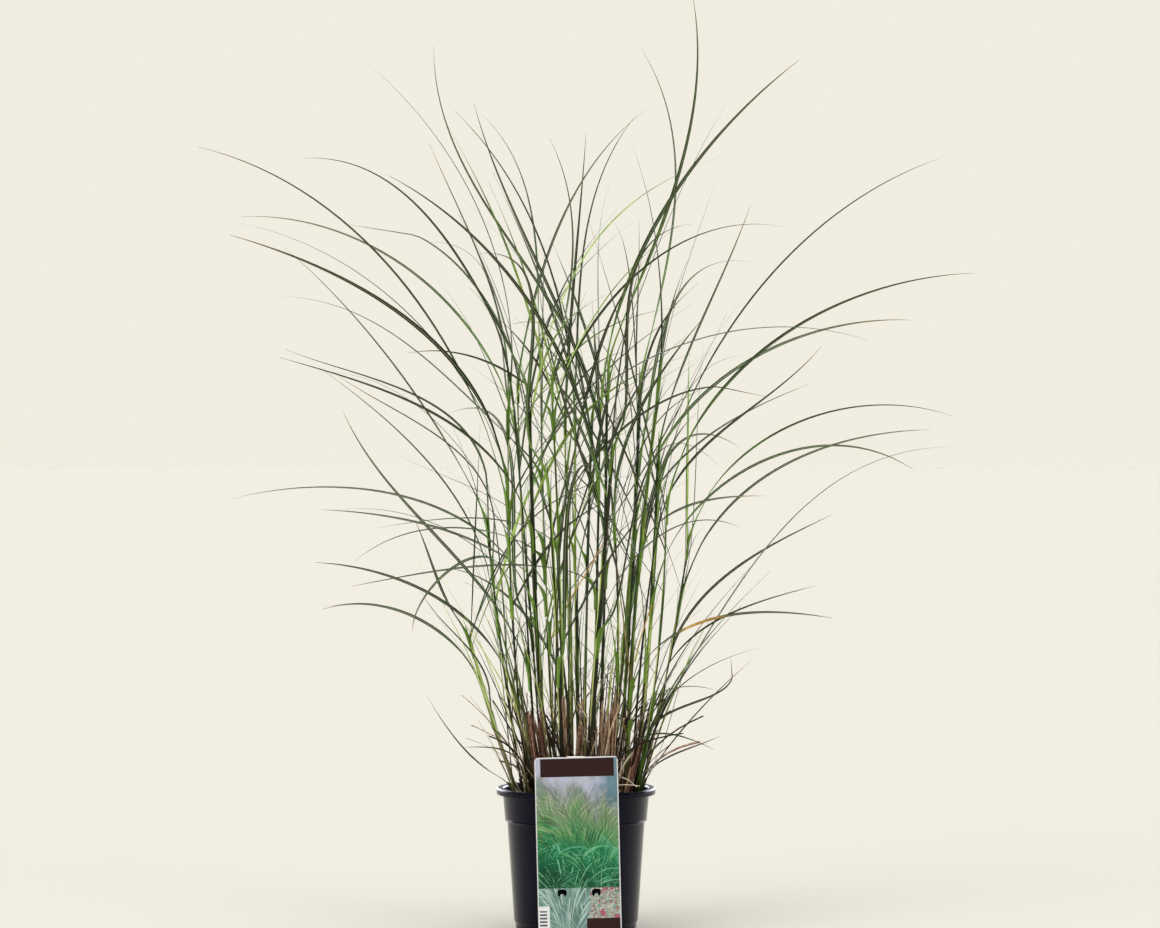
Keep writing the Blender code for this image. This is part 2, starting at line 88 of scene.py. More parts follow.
# A leaf leaves its stem at a height, and then runs as a stem's newest leaf does.
Leaf = namedtuple("Leaf", "stem height near far tip depth creased", defaults=(False,))
FRAME_LEAVES = [
    Leaf(1, 470, (-146, 640), (-269, 776), (-407, 842), 20),
    Leaf(2, 540, (-138, 674), (-265, 757), (-371, 775), 130),
    Leaf(1, 490, (-145, 625), (-253, 699), (-357, 737), -130),
    Leaf(4, 500, (-118, 574), (-204, 645), (-328, 689), 180),
    Leaf(3, 440, (-137, 547), (-210, 581), (-301, 609), -180),
    Leaf(2, 290, (-118, 386), (-193, 464), (-261, 559), 170),
    Leaf(3, 360, (-114, 438), (-225, 474), (-362, 464), -60),
    Leaf(4, 370, (-127, 424), (-206, 444), (-277, 451), 60),
    Leaf(1, 255, (-125, 344), (-200, 384), (-272, 398), -90),
    Leaf(14, 275, (-148, 321), (-212, 347), (-277, 342), 70),
    Leaf(7, 490, (-14, 610), (-103, 733), (-191, 795), -170),
    Leaf(8, 520, (-11, 647), (-124, 828), (-154, 953), 40),
    Leaf(9, 440, (4, 612), (-53, 741), (-110, 889), 30),
    Leaf(6, 500, (3, 674), (27, 815), (66, 886), 120),
    Leaf(12, 480, (169, 651), (285, 774), (400, 838), 120),
    Leaf(10, 450, (132, 570), (253, 643), (375, 662), 170),
    Leaf(5, 560, (52, 689), (150, 745), (217, 743), -150),
    Leaf(1, 465, (6, 565), (154, 636), (297, 625), -205),
    Leaf(22, 370, (202, 484), (311, 529), (396, 539), 160),
    Leaf(13, 225, (166, 362), (263, 472), (397, 519), -30),
    Leaf(12, 360, (166, 486), (271, 520), (347, 495), -140),
    Leaf(22, 260, (120, 334), (197, 400), (287, 443), 190),
    Leaf(11, 275, (135, 335), (202, 346), (266, 341), -120),
    Leaf(13, 185, (105, 260), (152, 293), (195, 309), -78),
    Leaf(18, 300, (-10, 430), (10, 500), (40, 470), -340),
    Leaf(19, 330, (60, 450), (95, 520), (140, 500), -300),
    Leaf(15, 330, (-70, 470), (-100, 560), (-150, 560), 340),
    Leaf(17, 320, (80, 450), (125, 530), (190, 520), 310),
    Leaf(16, 400, (0, 560), (-30, 660), (-75, 665), 350),
]

# The frame leaf that has an orange patch in its middle, counted from 1.
SCORCHED_LEAF = 23

# Finer leaves that have no solid of their own in the frame.
FINE_LEAVES = [
    Leaf(1, 500, (-126, 600), (-229, 702), (-358, 757), -20),
    Leaf(20, 440, (-135, 550), (-215, 592), (-320, 627), 100),
    Leaf(1, 430, (-138, 535), (-196, 580), (-282, 598), -40),
    Leaf(20, 345, (-125, 455), (-203, 545), (-275, 602), 80),
    Leaf(20, 400, (-118, 505), (-172, 547), (-247, 592), -90),
    Leaf(3, 560, (-93, 670), (-170, 744), (-244, 757), 0, True),
    Leaf(5, 560, (-81, 603), (-126, 618), (-178, 617), -60),
    Leaf(4, 425, (-81, 460), (-147, 491), (-190, 511), -50),
    Leaf(3, 340, (-95, 404), (-167, 443), (-249, 452), 0),
    Leaf(5, 420, (-80, 441), (-134, 443), (-207, 434), -100),
    Leaf(4, 405, (-108, 431), (-182, 426), (-228, 400), -150),
    Leaf(7, 380, (-80, 394), (-157, 387), (-233, 374), -120),
    Leaf(14, 240, (-106, 291), (-136, 326), (-164, 364), -20),
    Leaf(1, 370, (-95, 402), (-143, 380), (-169, 325), -110),
    Leaf(14, 160, (-105, 182), (-135, 215), (-159, 253), -10),
    Leaf(1, 175, (-76, 196), (-95, 200), (-118, 201), -40),
    Leaf(1, 560, (-95, 700), (-127, 777), (-160, 850), 70),
    Leaf(12, 430, (128, 510), (189, 562), (258, 624), -60),
    Leaf(10, 430, (135, 525), (187, 558), (252, 587), 40),
    Leaf(5, 450, (66, 551), (148, 582), (198, 571), -90, True),
    Leaf(12, 500, (118, 574), (150, 609), (180, 617), 30),
    Leaf(13, 260, (135, 325), (199, 355), (254, 371), -20),
    Leaf(11, 420, (104, 450), (149, 464), (198, 467), -60),
    Leaf(13, 155, (105, 208), (145, 252), (186, 290), -10),
    Leaf(13, 200, (109, 241), (165, 275), (163, 296), -60, True),
    Leaf(11, 230, (84, 256), (118, 267), (147, 264), -90),
    Leaf(11, 195, (79, 214), (113, 213), (144, 202), -80),
    Leaf(13, 165, (95, 187), (125, 200), (153, 212), -30),
    Leaf(22, 165, (103, 232), (119, 283), (147, 332), 50),
    Leaf(22, 360, (127, 450), (132, 541), (140, 634), 80),
    Leaf(10, 560, (66, 621), (68, 694), (69, 768), 90),
    Leaf(8, 600, (90, 740), (124, 818), (158, 880), -40),
    Leaf(11, 560, (100, 650), (125, 732), (151, 806), 40),
    Leaf(2, 300, (-70, 400), (-64, 520), (-40, 640), 60),
    Leaf(6, 330, (10, 430), (40, 530), (75, 610), 60),
    Leaf(9, 300, (20, 400), (-20, 500), (-62, 590), -70),
    Leaf(21, 300, (20, 400), (58, 490), (88, 560), 30),
    Leaf(10, 330, (30, 440), (-10, 560), (-40, 690), 60),
    Leaf(4, 330, (0, 440), (40, 560), (70, 700), 10),
    Leaf(12, 300, (60, 420), (20, 560), (-5, 720), -20),
    Leaf(3, 270, (-20, 380), (30, 500), (70, 590), -70),
    Leaf(21, 420, (-60, 520), (-110, 640), (-150, 700), 30),
    Leaf(8, 400, (80, 500), (140, 620), (190, 690), 50),
    Leaf(7, 330, (70, 410), (120, 440), (170, 435), -110),
    Leaf(6, 250, (-50, 330), (-95, 370), (-140, 385), 120),
]

# What is left of last year's stems: foot is (x, y), top is (x, y, z).
Stub = namedtuple("Stub", "foot top radius")
STUBS = [
    Stub((-36, -44), (-49, -50, 242), 3.6),
    Stub((-27, -47), (-41, -53, 236), 3.6),
    Stub((-8, -32), (-15, -36, 261), 3.2),
    Stub((34, -45), (40, -52, 262), 3.6),
    Stub((25, -38), (30, -46, 251), 3.3),
    Stub((50, -38), (68, -46, 216), 4.0),
]


def mix(start, end, share):
    return start + (end - start) * share


def smooth(share):
    share = min(max(share, 0.0), 1.0)
    return share * share * (3 - 2 * share)


def stem_point(stem, height):
    """The middle of a stem at a height: one smooth bow through its foot, middle and top."""
    share = (height - SOCKET_FLOOR) / (stem.top[2] - SOCKET_FLOOR)
    weights = ((1 - share) * (1 - 2 * share), 4 * share * (1 - share), share * (2 * share - 1))
    across = [
        weights[0] * stem.foot[axis] + weights[1] * stem.middle[axis] + weights[2] * stem.top[axis]
        for axis in (0, 1)
    ]
    return Vector((*across, height))


def stem_radius(stem, height):
    share = (height - SOCKET_FLOOR) / (stem.top[2] - SOCKET_FLOOR)
    return mix(STEM_FOOT_RADIUS, STEM_TOP_RADIUS, share)


def blade_path(start, near, far, tip, depth, creased, steps):
    """Points from start to tip, on the one cubic that passes near and far."""
    stops = [Vector((start.x, start.z)), Vector(near), Vector(far), Vector(tip)]
    shares = [0.0]
    for here, there in zip(stops, stops[1:]):
        shares.append(shares[-1] + (there - here).length)
    shares = [share / shares[-1] for share in shares]
    path = []
    for step in range(steps + 1):
        share = step / steps
        place = Vector((0, 0))
        for i, stop in enumerate(stops):
            weight = 1.0
            for j, other in enumerate(shares):
                if j != i:
                    weight *= (share - other) / (shares[i] - other)
            place += stop * weight
        if creased and share > shares[2]:
            place = mix(stops[2], stops[3], (share - shares[2]) / (1 - shares[2]))
        path.append(Vector((place.x, mix(start.y, depth, share**REACH_POWER), place.y)))
    return path


# Strands ------------------------------------------------------------------------------------------

# A strand is a line that a section is swept along. Each of its points has a half width, the way the
# section's upper side faces, and how far its edges fold up. The rest colour it: how far along it is,
# its tone from dark to light, how dry it is, and how much of it is sheath.
FIELDS = ("half_width", "fold", "along", "tone", "dry", "sheath")
Strand = namedtuple("Strand", "points up " + " ".join(FIELDS))


def direction(points, step):
    """The way that the points run at a step."""
    return (points[min(step + 1, len(points) - 1)] - points[max(step - 1, 0)]).normalized()


def strand(points, wide, half_width, fold=0.0, tone=0.5, dry=0.0, sheath=0.0, roll=0.0, twist=0.0):
    """A strand along points, flat along wide, turned by roll at its foot and by roll + twist at its tip.
    Each of its values is a number, or a function of the share of the way along."""
    lengths = [0.0]
    for here, there in zip(points, points[1:]):
        lengths.append(lengths[-1] + (there - here).length)
    shares = [length / lengths[-1] for length in lengths]
    ups = []
    for step, share in enumerate(shares):
        along = direction(points, step)
        up = wide.cross(along).normalized()
        ups.append(Matrix.Rotation(roll + twist * share, 3, along) @ up)
    values = []
    for value in (half_width, fold, lambda share: share, tone, dry, sheath):
        values.append([value(share) if callable(value) else value for share in shares])
    return Strand(points, ups, *values)


def relaxed(points, first, last, passes):
    """The points, with the bend between first and last eased."""
    points = [point.copy() for point in points]
    for _ in range(passes):
        for step in range(max(first, 1), min(last, len(points) - 1)):
            points[step] = mix(points[step], (points[step - 1] + points[step + 1]) / 2, 0.5)
    return points


SHEATH_LENGTH = 34.0  # how much of a leaf's sheath shows as its own, below its blade
SHEATH_STEPS = 5
BLADE_STEPS = 30


def leaf_strand(stem, height, row, half_width, tone, dry, rng):
    """A leaf: its sheath lies round the stem up to a height, and its blade leaves the stem there."""
    start = stem_point(stem, height)
    blade = blade_path(start, row.near, row.far, row.tip, row.depth, row.creased, BLADE_STEPS)
    ahead = blade[3] - blade[0]
    out = Vector((ahead.x, ahead.y, 0)).normalized()
    wide = out.cross(UP)
    radius = stem_radius(stem, height)
    clear = radius + 0.5
    points = []
    for step in range(SHEATH_STEPS):
        low = height - SHEATH_LENGTH * (1 - step / SHEATH_STEPS)
        points.append(stem_point(stem, low) + out * (radius + 0.25))
    points += [point + out * clear * (1 - step / BLADE_STEPS) ** 3 for step, point in enumerate(blade)]
    points = relaxed(points, SHEATH_STEPS - 2, SHEATH_STEPS + 4, 6)
    total = sum((there - here).length for here, there in zip(points, points[1:]))
    collar = SHEATH_LENGTH / total
    roll = rng.uniform(0.35, 1.0) * rng.choice((-1, 1))
    twist = rng.uniform(-0.7, 0.7)

    def width_at(share):
        if share < collar:
            return mix(radius * 1.05, radius * 1.25, share / collar)
        past = (share - collar) / (1 - collar)
        full = mix(0.7, 1.0, smooth(past / 0.3)) * (1 - smooth((past - 0.4) / 0.6) * 0.62)
        return max(half_width * full * (1 - past**14), 0.16)

    def fold_at(share):
        return mix(1.15, 0.32, smooth((share - collar) / 0.12))

    def sheath_at(share):
        return 1 - smooth((share - collar) / 0.06)

    made = strand(points, wide, width_at, fold_at, tone, dry, sheath_at)
    ups = []
    for step, (up, share) in enumerate(zip(made.up, made.along)):
        past = smooth((share - collar) / 0.3)
        ups.append(Matrix.Rotation(roll * past + twist * share, 3, direction(points, step)) @ up)
    return made._replace(up=ups)


# Nodes --------------------------------------------------------------------------------------------


def linear(hex_colour):
    """An sRGB hex colour as linear red, green, blue and alpha."""
    values = [int(hex_colour[i : i + 2], 16) / 255 for i in (1, 3, 5)]
    return (*[v / 12.92 if v <= 0.04045 else ((v + 0.055) / 1.055) ** 2.4 for v in values], 1.0)


def add(tree, kind, inputs=None, stops=None, **settings):
    """Adds a node with its settings, its ramp's stops and its inputs. An input is a value, or the socket
    or the node that it is linked to: of a node, the first output."""
    node = tree.nodes.new(kind)
    for name, value in settings.items():
        setattr(node, name, value)
    for place, (position, colour) in enumerate(stops or ()):
        elements = node.color_ramp.elements
        element = elements[place] if place < 2 else elements.new(position)
        element.position = position
        element.color = linear(colour)
    for name, value in (inputs or {}).items():
        if isinstance(value, bpy.types.Node):
            value = value.outputs[0]
        if isinstance(value, bpy.types.NodeSocket):
            tree.links.new(value, node.inputs[name])
        else:
            node.inputs[name].default_value = value
    return node


def placed(name, data):
    """A new object in the scene, at the origin."""
    obj = bpy.data.objects.new(name, data)
    bpy.context.scene.collection.objects.link(obj)
    return obj


def evaluated_mesh(obj):
    """A plain mesh of the object as its modifiers make it."""
    graph = bpy.context.evaluated_depsgraph_get()
    graph.update()
    return bpy.data.meshes.new_from_object(
        obj.evaluated_get(graph), preserve_all_data_layers=True, depsgraph=graph
    )


def geometry_tree(name, inputs):
    """A Geometry Nodes tree with named inputs after its geometry. Returns it with its input node."""
    tree = bpy.data.node_groups.new(name, "GeometryNodeTree")
    tree.interface.new_socket("Geometry", in_out="INPUT", socket_type="NodeSocketGeometry")
    for socket_name, socket_type in inputs:
        tree.interface.new_socket(socket_name, in_out="INPUT", socket_type=socket_type)
    tree.interface.new_socket("Geometry", in_out="OUTPUT", socket_type="NodeSocketGeometry")
    return tree, tree.nodes.new("NodeGroupInput")


def grown(obj, tree, values):
    """The plain mesh object that a tree makes of obj, which is used up."""
    modifier = obj.modifiers.new(tree.name, "NODES")
    modifier.node_group = tree
    for item in tree.interface.items_tree:
        if item.in_out == "INPUT" and item.name in values:
            modifier[item.identifier] = values[item.name]
    mesh = evaluated_mesh(obj)
    name = obj.name
    obj.modifiers.remove(modifier)
    bpy.data.objects.remove(obj)
    mesh.name = name
    return placed(name, mesh)


def sweep_tree():
    """Sweeps a flattened round section along each strand, then folds its edges towards its upper side."""
    tree, given = geometry_tree(
        "swept_strands",
        [("Sides", "NodeSocketInt"), ("Flatness", "NodeSocketFloat"), ("Material", "NodeSocketMaterial")],
    )
    width = add(tree, "GeometryNodeInputNamedAttribute", {"Name": "half_width"}, data_type="FLOAT")
    fold = add(tree, "GeometryNodeInputNamedAttribute", {"Name": "fold"}, data_type="FLOAT")
    up = add(tree, "GeometryNodeInputNamedAttribute", {"Name": "up"}, data_type="FLOAT_VECTOR")
    across = add(tree, "GeometryNodeInputNamedAttribute", {"Name": "across"}, data_type="FLOAT")
    lines = add(tree, "GeometryNodeMeshToCurve", {"Mesh": given.outputs["Geometry"]})
    turned_lines = add(tree, "GeometryNodeSetCurveNormal", {"Curve": lines, "Normal": up}, mode="FREE")
    circle = add(
        tree, "GeometryNodeCurvePrimitiveCircle", {"Resolution": given.outputs["Sides"], "Radius": 1.0}
    )
    place = add(tree, "GeometryNodeInputPosition")
    parts = add(tree, "ShaderNodeSeparateXYZ", {0: place})
    named = add(
        tree,
        "GeometryNodeStoreNamedAttribute",
        {"Geometry": circle, "Name": "across", "Value": parts.outputs["Y"]},
        data_type="FLOAT",
        domain="POINT",
    )
    thin = add(
        tree, "ShaderNodeMath", {0: parts.outputs["X"], 1: given.outputs["Flatness"]}, operation="MULTIPLY"
    )
    section = add(tree, "ShaderNodeCombineXYZ", {"X": thin, "Y": parts.outputs["Y"]})
    flat = add(tree, "GeometryNodeSetPosition", {"Geometry": named, "Position": section})
    skin = add(
        tree,
        "GeometryNodeCurveToMesh",
        {
            "Curve": turned_lines,
            "Profile Curve": flat,
            "Scale": width,
            "Fill Caps": True,
        },
    )
    edge = add(tree, "ShaderNodeMath", {0: across}, operation="ABSOLUTE")
    curl = add(tree, "ShaderNodeMath", {0: edge, 1: 1.4}, operation="POWER")
    lift = add(tree, "ShaderNodeMath", {0: curl, 1: fold}, operation="MULTIPLY")
    rise = add(tree, "ShaderNodeMath", {0: lift, 1: width}, operation="MULTIPLY")
    move = add(tree, "ShaderNodeVectorMath", {0: up, "Scale": rise}, operation="SCALE")
    folded = add(tree, "GeometryNodeSetPosition", {"Geometry": skin, "Offset": move})
    shaded = add(tree, "GeometryNodeSetShadeSmooth", {"Geometry": folded, "Shade Smooth": True})
    real = add(tree, "GeometryNodeRealizeInstances", {"Geometry": shaded})
    done = add(tree, "GeometryNodeSetMaterial", {"Geometry": real, "Material": given.outputs["Material"]})
    add(tree, "NodeGroupOutput", {"Geometry": done})
    return tree


def swept(name, strands, sides, flatness, material):
    """One piece from all its strands."""
    points = [point * MM for one in strands for point in one.points]
    edges = []
    first = 0
    for one in strands:
        edges += [(first + step, first + step + 1) for step in range(len(one.points) - 1)]
        first += len(one.points)
    mesh = bpy.data.meshes.new(name)
    mesh.from_pydata(points, edges, [])
    mesh.attributes.new("up", "FLOAT_VECTOR", "POINT").data.foreach_set(
        "vector", np.array([up for one in strands for up in one.up], np.float32).ravel()
    )
    for field in FIELDS:
        values = np.array([value for one in strands for value in getattr(one, field)], np.float32)
        if field == "half_width":
            values *= MM
        mesh.attributes.new(field, "FLOAT", "POINT").data.foreach_set("value", values)
    values = {"Sides": sides, "Flatness": flatness, "Material": material}
    return grown(placed(name, mesh), SWEEP, values)


# Finishes -----------------------------------------------------------------------------------------


def finish(name, **settings):
    """A material with its Principled shader's plain values set. Returns it with its tree and shader."""
    material = bpy.data.materials.new(name)
    material.use_nodes = True
    tree = material.node_tree
    shader = tree.nodes["Principled BSDF"]
    for socket, value in settings.items():
        shader.inputs[socket.replace("_", " ")].default_value = value
    return material, tree, shader


def grass_lamina():
    """A living grass blade, waxy and ribbed with a pale midrib: dark green with fine lighter lines."""
    material, tree, shader = finish(
        "grass_lamina", IOR=1.42, Specular_IOR_Level=0.26, Specular_Tint=(1.0, 0.97, 0.72, 1.0)
    )
    where = add(tree, "ShaderNodeTexCoord").outputs["Object"]
    tone, along, across, dry, sheath = [
        add(tree, "ShaderNodeAttribute", attribute_name=name).outputs["Fac"]
        for name in ("tone", "along", "across", "dry", "sheath")
    ]
    # Growth is uneven over a few centimetres of blade.
    cloud = add(tree, "ShaderNodeTexNoise", {"Vector": where, "Scale": 38.0, "Detail": 3.0})
    uneven = add(tree, "ShaderNodeMath", {0: cloud, 1: 0.55, 2: tone}, operation="MULTIPLY_ADD")
    # A blade is youngest, and palest, near its stem.
    young = add(tree, "ShaderNodeMapRange", {0: along, 1: 0.0, 2: 0.5, 3: 0.16, 4: -0.36})
    level = add(tree, "ShaderNodeMath", {0: uneven, 1: young}, operation="ADD")
    green = add(
        tree,
        "ShaderNodeValToRGB",
        {0: level},
        stops=[(0.0, "#0f130c"), (0.3, "#1a2413"), (0.55, "#2f4a1d"), (0.8, "#6a933a"), (1.0, "#aac65e")],
    )
    worn = add(tree, "ShaderNodeMapRange", {0: along, 1: 0.2, 2: 1.0, 3: 0.0, 4: 0.5})
    tipped = add(tree, "ShaderNodeMix", {0: worn, 6: green, 7: linear("#575240")}, data_type="RGBA")
    # About 8 ribs a side: a rib every 0.3 mm on a 5 mm blade.
    ribs = add(tree, "ShaderNodeMath", {0: across, 1: 50.0}, operation="MULTIPLY")
    wave = add(tree, "ShaderNodeMath", {0: ribs}, operation="SINE")
    shade = add(tree, "ShaderNodeMapRange", {0: wave, 1: -1.0, 2: 1.0, 3: 0.82, 4: 1.1})
    ribbed = add(
        tree,
        "ShaderNodeMix",
        {0: 1.0, 6: tipped.outputs[2], 7: shade},
        data_type="RGBA",
        blend_type="MULTIPLY",
    )
    side = add(tree, "ShaderNodeMath", {0: across}, operation="ABSOLUTE")
    rib = add(tree, "ShaderNodeMapRange", {0: side, 1: 0.24, 2: 0.08, 3: 0.0, 4: 0.55})
    veined = add(
        tree, "ShaderNodeMix", {0: rib, 6: ribbed.outputs[2], 7: linear("#9fb280")}, data_type="RGBA"
    )
    wrap = add(tree, "ShaderNodeMath", {0: sheath, 1: 0.65}, operation="MULTIPLY")
    sheathed = add(
        tree, "ShaderNodeMix", {0: wrap, 6: veined.outputs[2], 7: linear("#6f9436")}, data_type="RGBA"
    )
    straw = add(
        tree, "ShaderNodeValToRGB", {0: cloud}, stops=[(0.3, "#6f5630"), (0.5, "#bd8f48"), (0.7, "#dcc084")]
    )
    coloured = add(tree, "ShaderNodeMix", {0: dry, 6: sheathed.outputs[2], 7: straw}, data_type="RGBA")
    # Painted shade: the lowest leaves are darkened towards the mix, where the clump shades them.
    height = add(tree, "ShaderNodeSeparateXYZ", {0: where}).outputs["Z"]
    foot_shade = add(tree, "ShaderNodeMapRange", {0: height, 1: 0.15, 2: 0.25, 3: 0.3, 4: 1.0})
    low_toned = add(
        tree,
        "ShaderNodeMix",
        {0: 1.0, 6: coloured.outputs[2], 7: foot_shade},
        data_type="RGBA",
        blend_type="MULTIPLY",
    )
    gloss = add(tree, "ShaderNodeMapRange", {0: cloud, 1: 0.3, 2: 0.7, 3: 0.38, 4: 0.56})
    relief = add(tree, "ShaderNodeBump", {"Height": wave, "Strength": 0.35, "Distance": 0.0001})
    tree.links.new(low_toned.outputs[2], shader.inputs["Base Color"])
    tree.links.new(gloss.outputs[0], shader.inputs["Roughness"])
    tree.links.new(relief.outputs[0], shader.inputs["Normal"])
    return material


def leaf_sheath():
    """Rolled leaf sheaths make the stem: smooth, finely ribbed, paler than a blade, brown at the mix, and
    darker there by painted shade.
    """
    material, tree, shader = finish(
        "leaf_sheath", IOR=1.42, Specular_IOR_Level=0.34, Specular_Tint=(1.0, 0.97, 0.78, 1.0)
    )
    where = add(tree, "ShaderNodeTexCoord").outputs["Object"]
    tone, dry, across = [
        add(tree, "ShaderNodeAttribute", attribute_name=name).outputs["Fac"]
        for name in ("tone", "dry", "across")
    ]
    height = add(tree, "ShaderNodeSeparateXYZ", {0: where}).outputs["Z"]
    # Streaks run up the stem: about 3 mm wide and 40 mm long.
    stretch = add(tree, "ShaderNodeMapping", {"Vector": where, "Scale": (300.0, 300.0, 26.0)})
    streak = add(tree, "ShaderNodeTexNoise", {"Vector": stretch, "Scale": 1.0, "Detail": 3.0})
    uneven = add(tree, "ShaderNodeMath", {0: streak, 1: 0.9, 2: tone}, operation="MULTIPLY_ADD")
    level = add(tree, "ShaderNodeMath", {0: uneven, 1: 0.45}, operation="SUBTRACT")
    green = add(
        tree,
        "ShaderNodeValToRGB",
        {0: level},
        stops=[
            (0.0, "#20251a"),
            (0.25, "#2f3e1c"),
            (0.5, "#58752a"),
            (0.75, "#94b243"),
            (1.0, "#cde07c"),
        ],
    )
    # The lowest hand's breadth goes purple-brown.
    low = add(tree, "ShaderNodeMapRange", {0: height, 1: 0.3, 2: 0.17, 3: 0.0, 4: 1.0})
    patchy = add(tree, "ShaderNodeMapRange", {0: streak, 1: 0.3, 2: 0.62, 3: 0.25, 4: 1.0})
    low_toned = add(tree, "ShaderNodeMath", {0: low, 1: patchy}, operation="MULTIPLY")
    withered = add(tree, "ShaderNodeMath", {0: low_toned, 1: dry}, operation="MAXIMUM")
    brown = add(
        tree,
        "ShaderNodeValToRGB",
        {0: level},
        stops=[(0.0, "#1f130e"), (0.35, "#4f352a"), (0.65, "#86654f"), (1.0, "#c4ab8b")],
    )
    toned = add(tree, "ShaderNodeMix", {0: withered, 6: green, 7: brown}, data_type="RGBA")
    # Painted shade: the stem darkens towards the mix, where the clump shades its own foot.
    foot_shade = add(tree, "ShaderNodeMapRange", {0: height, 1: 0.15, 2: 0.23, 3: 0.28, 4: 1.0})
    shaded_foot = add(
        tree,
        "ShaderNodeMix",
        {0: 1.0, 6: toned.outputs[2], 7: foot_shade},
        data_type="RGBA",
        blend_type="MULTIPLY",
    )
    ribs = add(tree, "ShaderNodeMath", {0: across, 1: 24.0}, operation="MULTIPLY")
    wave = add(tree, "ShaderNodeMath", {0: ribs}, operation="SINE")
    shade = add(tree, "ShaderNodeMapRange", {0: wave, 1: -1.0, 2: 1.0, 3: 0.78, 4: 1.15})
    ribbed = add(
        tree,
        "ShaderNodeMix",
        {0: 1.0, 6: shaded_foot.outputs[2], 7: shade},
        data_type="RGBA",
        blend_type="MULTIPLY",
    )
    relief = add(tree, "ShaderNodeBump", {"Height": wave, "Strength": 0.4, "Distance": 0.00015})
    gloss = add(tree, "ShaderNodeMapRange", {0: streak, 1: 0.3, 2: 0.7, 3: 0.34, 4: 0.58})
    tree.links.new(ribbed.outputs[2], shader.inputs["Base Color"])
    tree.links.new(gloss.outputs[0], shader.inputs["Roughness"])
    tree.links.new(relief.outputs[0], shader.inputs["Normal"])
    return material


def dry_culm():
    """Last year's cut stalks: weathered fibrous sheaths, so matt red-brown with pale split fibres."""
    material, tree, shader = finish("dry_culm", IOR=1.4, Specular_IOR_Level=0.2)
    where = add(tree, "ShaderNodeTexCoord").outputs["Object"]
    tone = add(tree, "ShaderNodeAttribute", attribute_name="tone").outputs["Fac"]
    # Fibres are about 0.6 mm wide and run up the stalk.
    stretch = add(tree, "ShaderNodeMapping", {"Vector": where, "Scale": (1500.0, 1500.0, 60.0)})
    fibre = add(tree, "ShaderNodeTexNoise", {"Vector": stretch, "Scale": 1.0, "Detail": 3.0})
    level = add(tree, "ShaderNodeMath", {0: tone, 1: 0.6, 2: fibre}, operation="MULTIPLY_ADD")
    brown = add(
        tree,
        "ShaderNodeValToRGB",
        {0: level},
        stops=[(0.4, "#1f130f"), (0.64, "#513529"), (0.86, "#84604e"), (1.0, "#bfa283")],
    )
    relief = add(tree, "ShaderNodeBump", {"Height": fibre, "Strength": 0.6, "Distance": 0.0004})
    gloss = add(tree, "ShaderNodeMapRange", {0: fibre, 1: 0.3, 2: 0.7, 3: 0.7, 4: 0.95})
    tree.links.new(brown.outputs[0], shader.inputs["Base Color"])
    tree.links.new(gloss.outputs[0], shader.inputs["Roughness"])
    tree.links.new(relief.outputs[0], shader.inputs["Normal"])
    return material


def bleached_straw():
    """Dead leaf strips that have bleached in the open: pale, papery and faintly streaked."""
    material, tree, shader = finish("bleached_straw", IOR=1.4, Specular_IOR_Level=0.3)
    where = add(tree, "ShaderNodeTexCoord").outputs["Object"]
    tone = add(tree, "ShaderNodeAttribute", attribute_name="tone").outputs["Fac"]
    # Flecks are about 4 mm long.
    fleck = add(tree, "ShaderNodeTexNoise", {"Vector": where, "Scale": 260.0, "Detail": 3.0})
    level = add(tree, "ShaderNodeMath", {0: tone, 1: 0.8, 2: fleck}, operation="MULTIPLY_ADD")
    straw = add(
        tree,
        "ShaderNodeValToRGB",
        {0: level},
        stops=[(0.05, "#150c09"), (0.42, "#56392c"), (0.75, "#a4836a"), (1.0, "#e6dcc0")],
    )
    gloss = add(tree, "ShaderNodeMapRange", {0: fleck, 1: 0.3, 2: 0.7, 3: 0.5, 4: 0.75})
    tree.links.new(straw.outputs[0], shader.inputs["Base Color"])
    tree.links.new(gloss.outputs[0], shader.inputs["Roughness"])
    return material


def moist_peat():
    """Milled peat and composted bark, watered: near black, with brown crumbs and a dull wet gleam."""
    material, tree, shader = finish("moist_peat", IOR=1.4, Specular_IOR_Level=0.3)
    where = add(tree, "ShaderNodeTexCoord").outputs["Object"]
    # Crumbs are 2 to 4 mm across.
    crumb = add(tree, "ShaderNodeTexVoronoi", {"Vector": where, "Scale": 330.0})
    grit = add(tree, "ShaderNodeTexNoise", {"Vector": where, "Scale": 520.0, "Detail": 4.0})
    level = add(
        tree, "ShaderNodeMath", {0: crumb.outputs["Color"], 1: 0.5, 2: grit}, operation="MULTIPLY_ADD"
    )
    brown = add(
        tree,
        "ShaderNodeValToRGB",
        {0: level},
        stops=[(0.35, "#080605"), (0.7, "#1d130c"), (0.95, "#3f2c1d"), (1.0, "#7d6142")],
    )
    relief = add(tree, "ShaderNodeBump", {"Height": level, "Strength": 0.8, "Distance": 0.0015})
    gloss = add(tree, "ShaderNodeMapRange", {0: grit, 1: 0.35, 2: 0.65, 3: 0.55, 4: 0.95})
    tree.links.new(brown.outputs[0], shader.inputs["Base Color"])
    tree.links.new(gloss.outputs[0], shader.inputs["Roughness"])
    tree.links.new(relief.outputs[0], shader.inputs["Normal"])
    return material


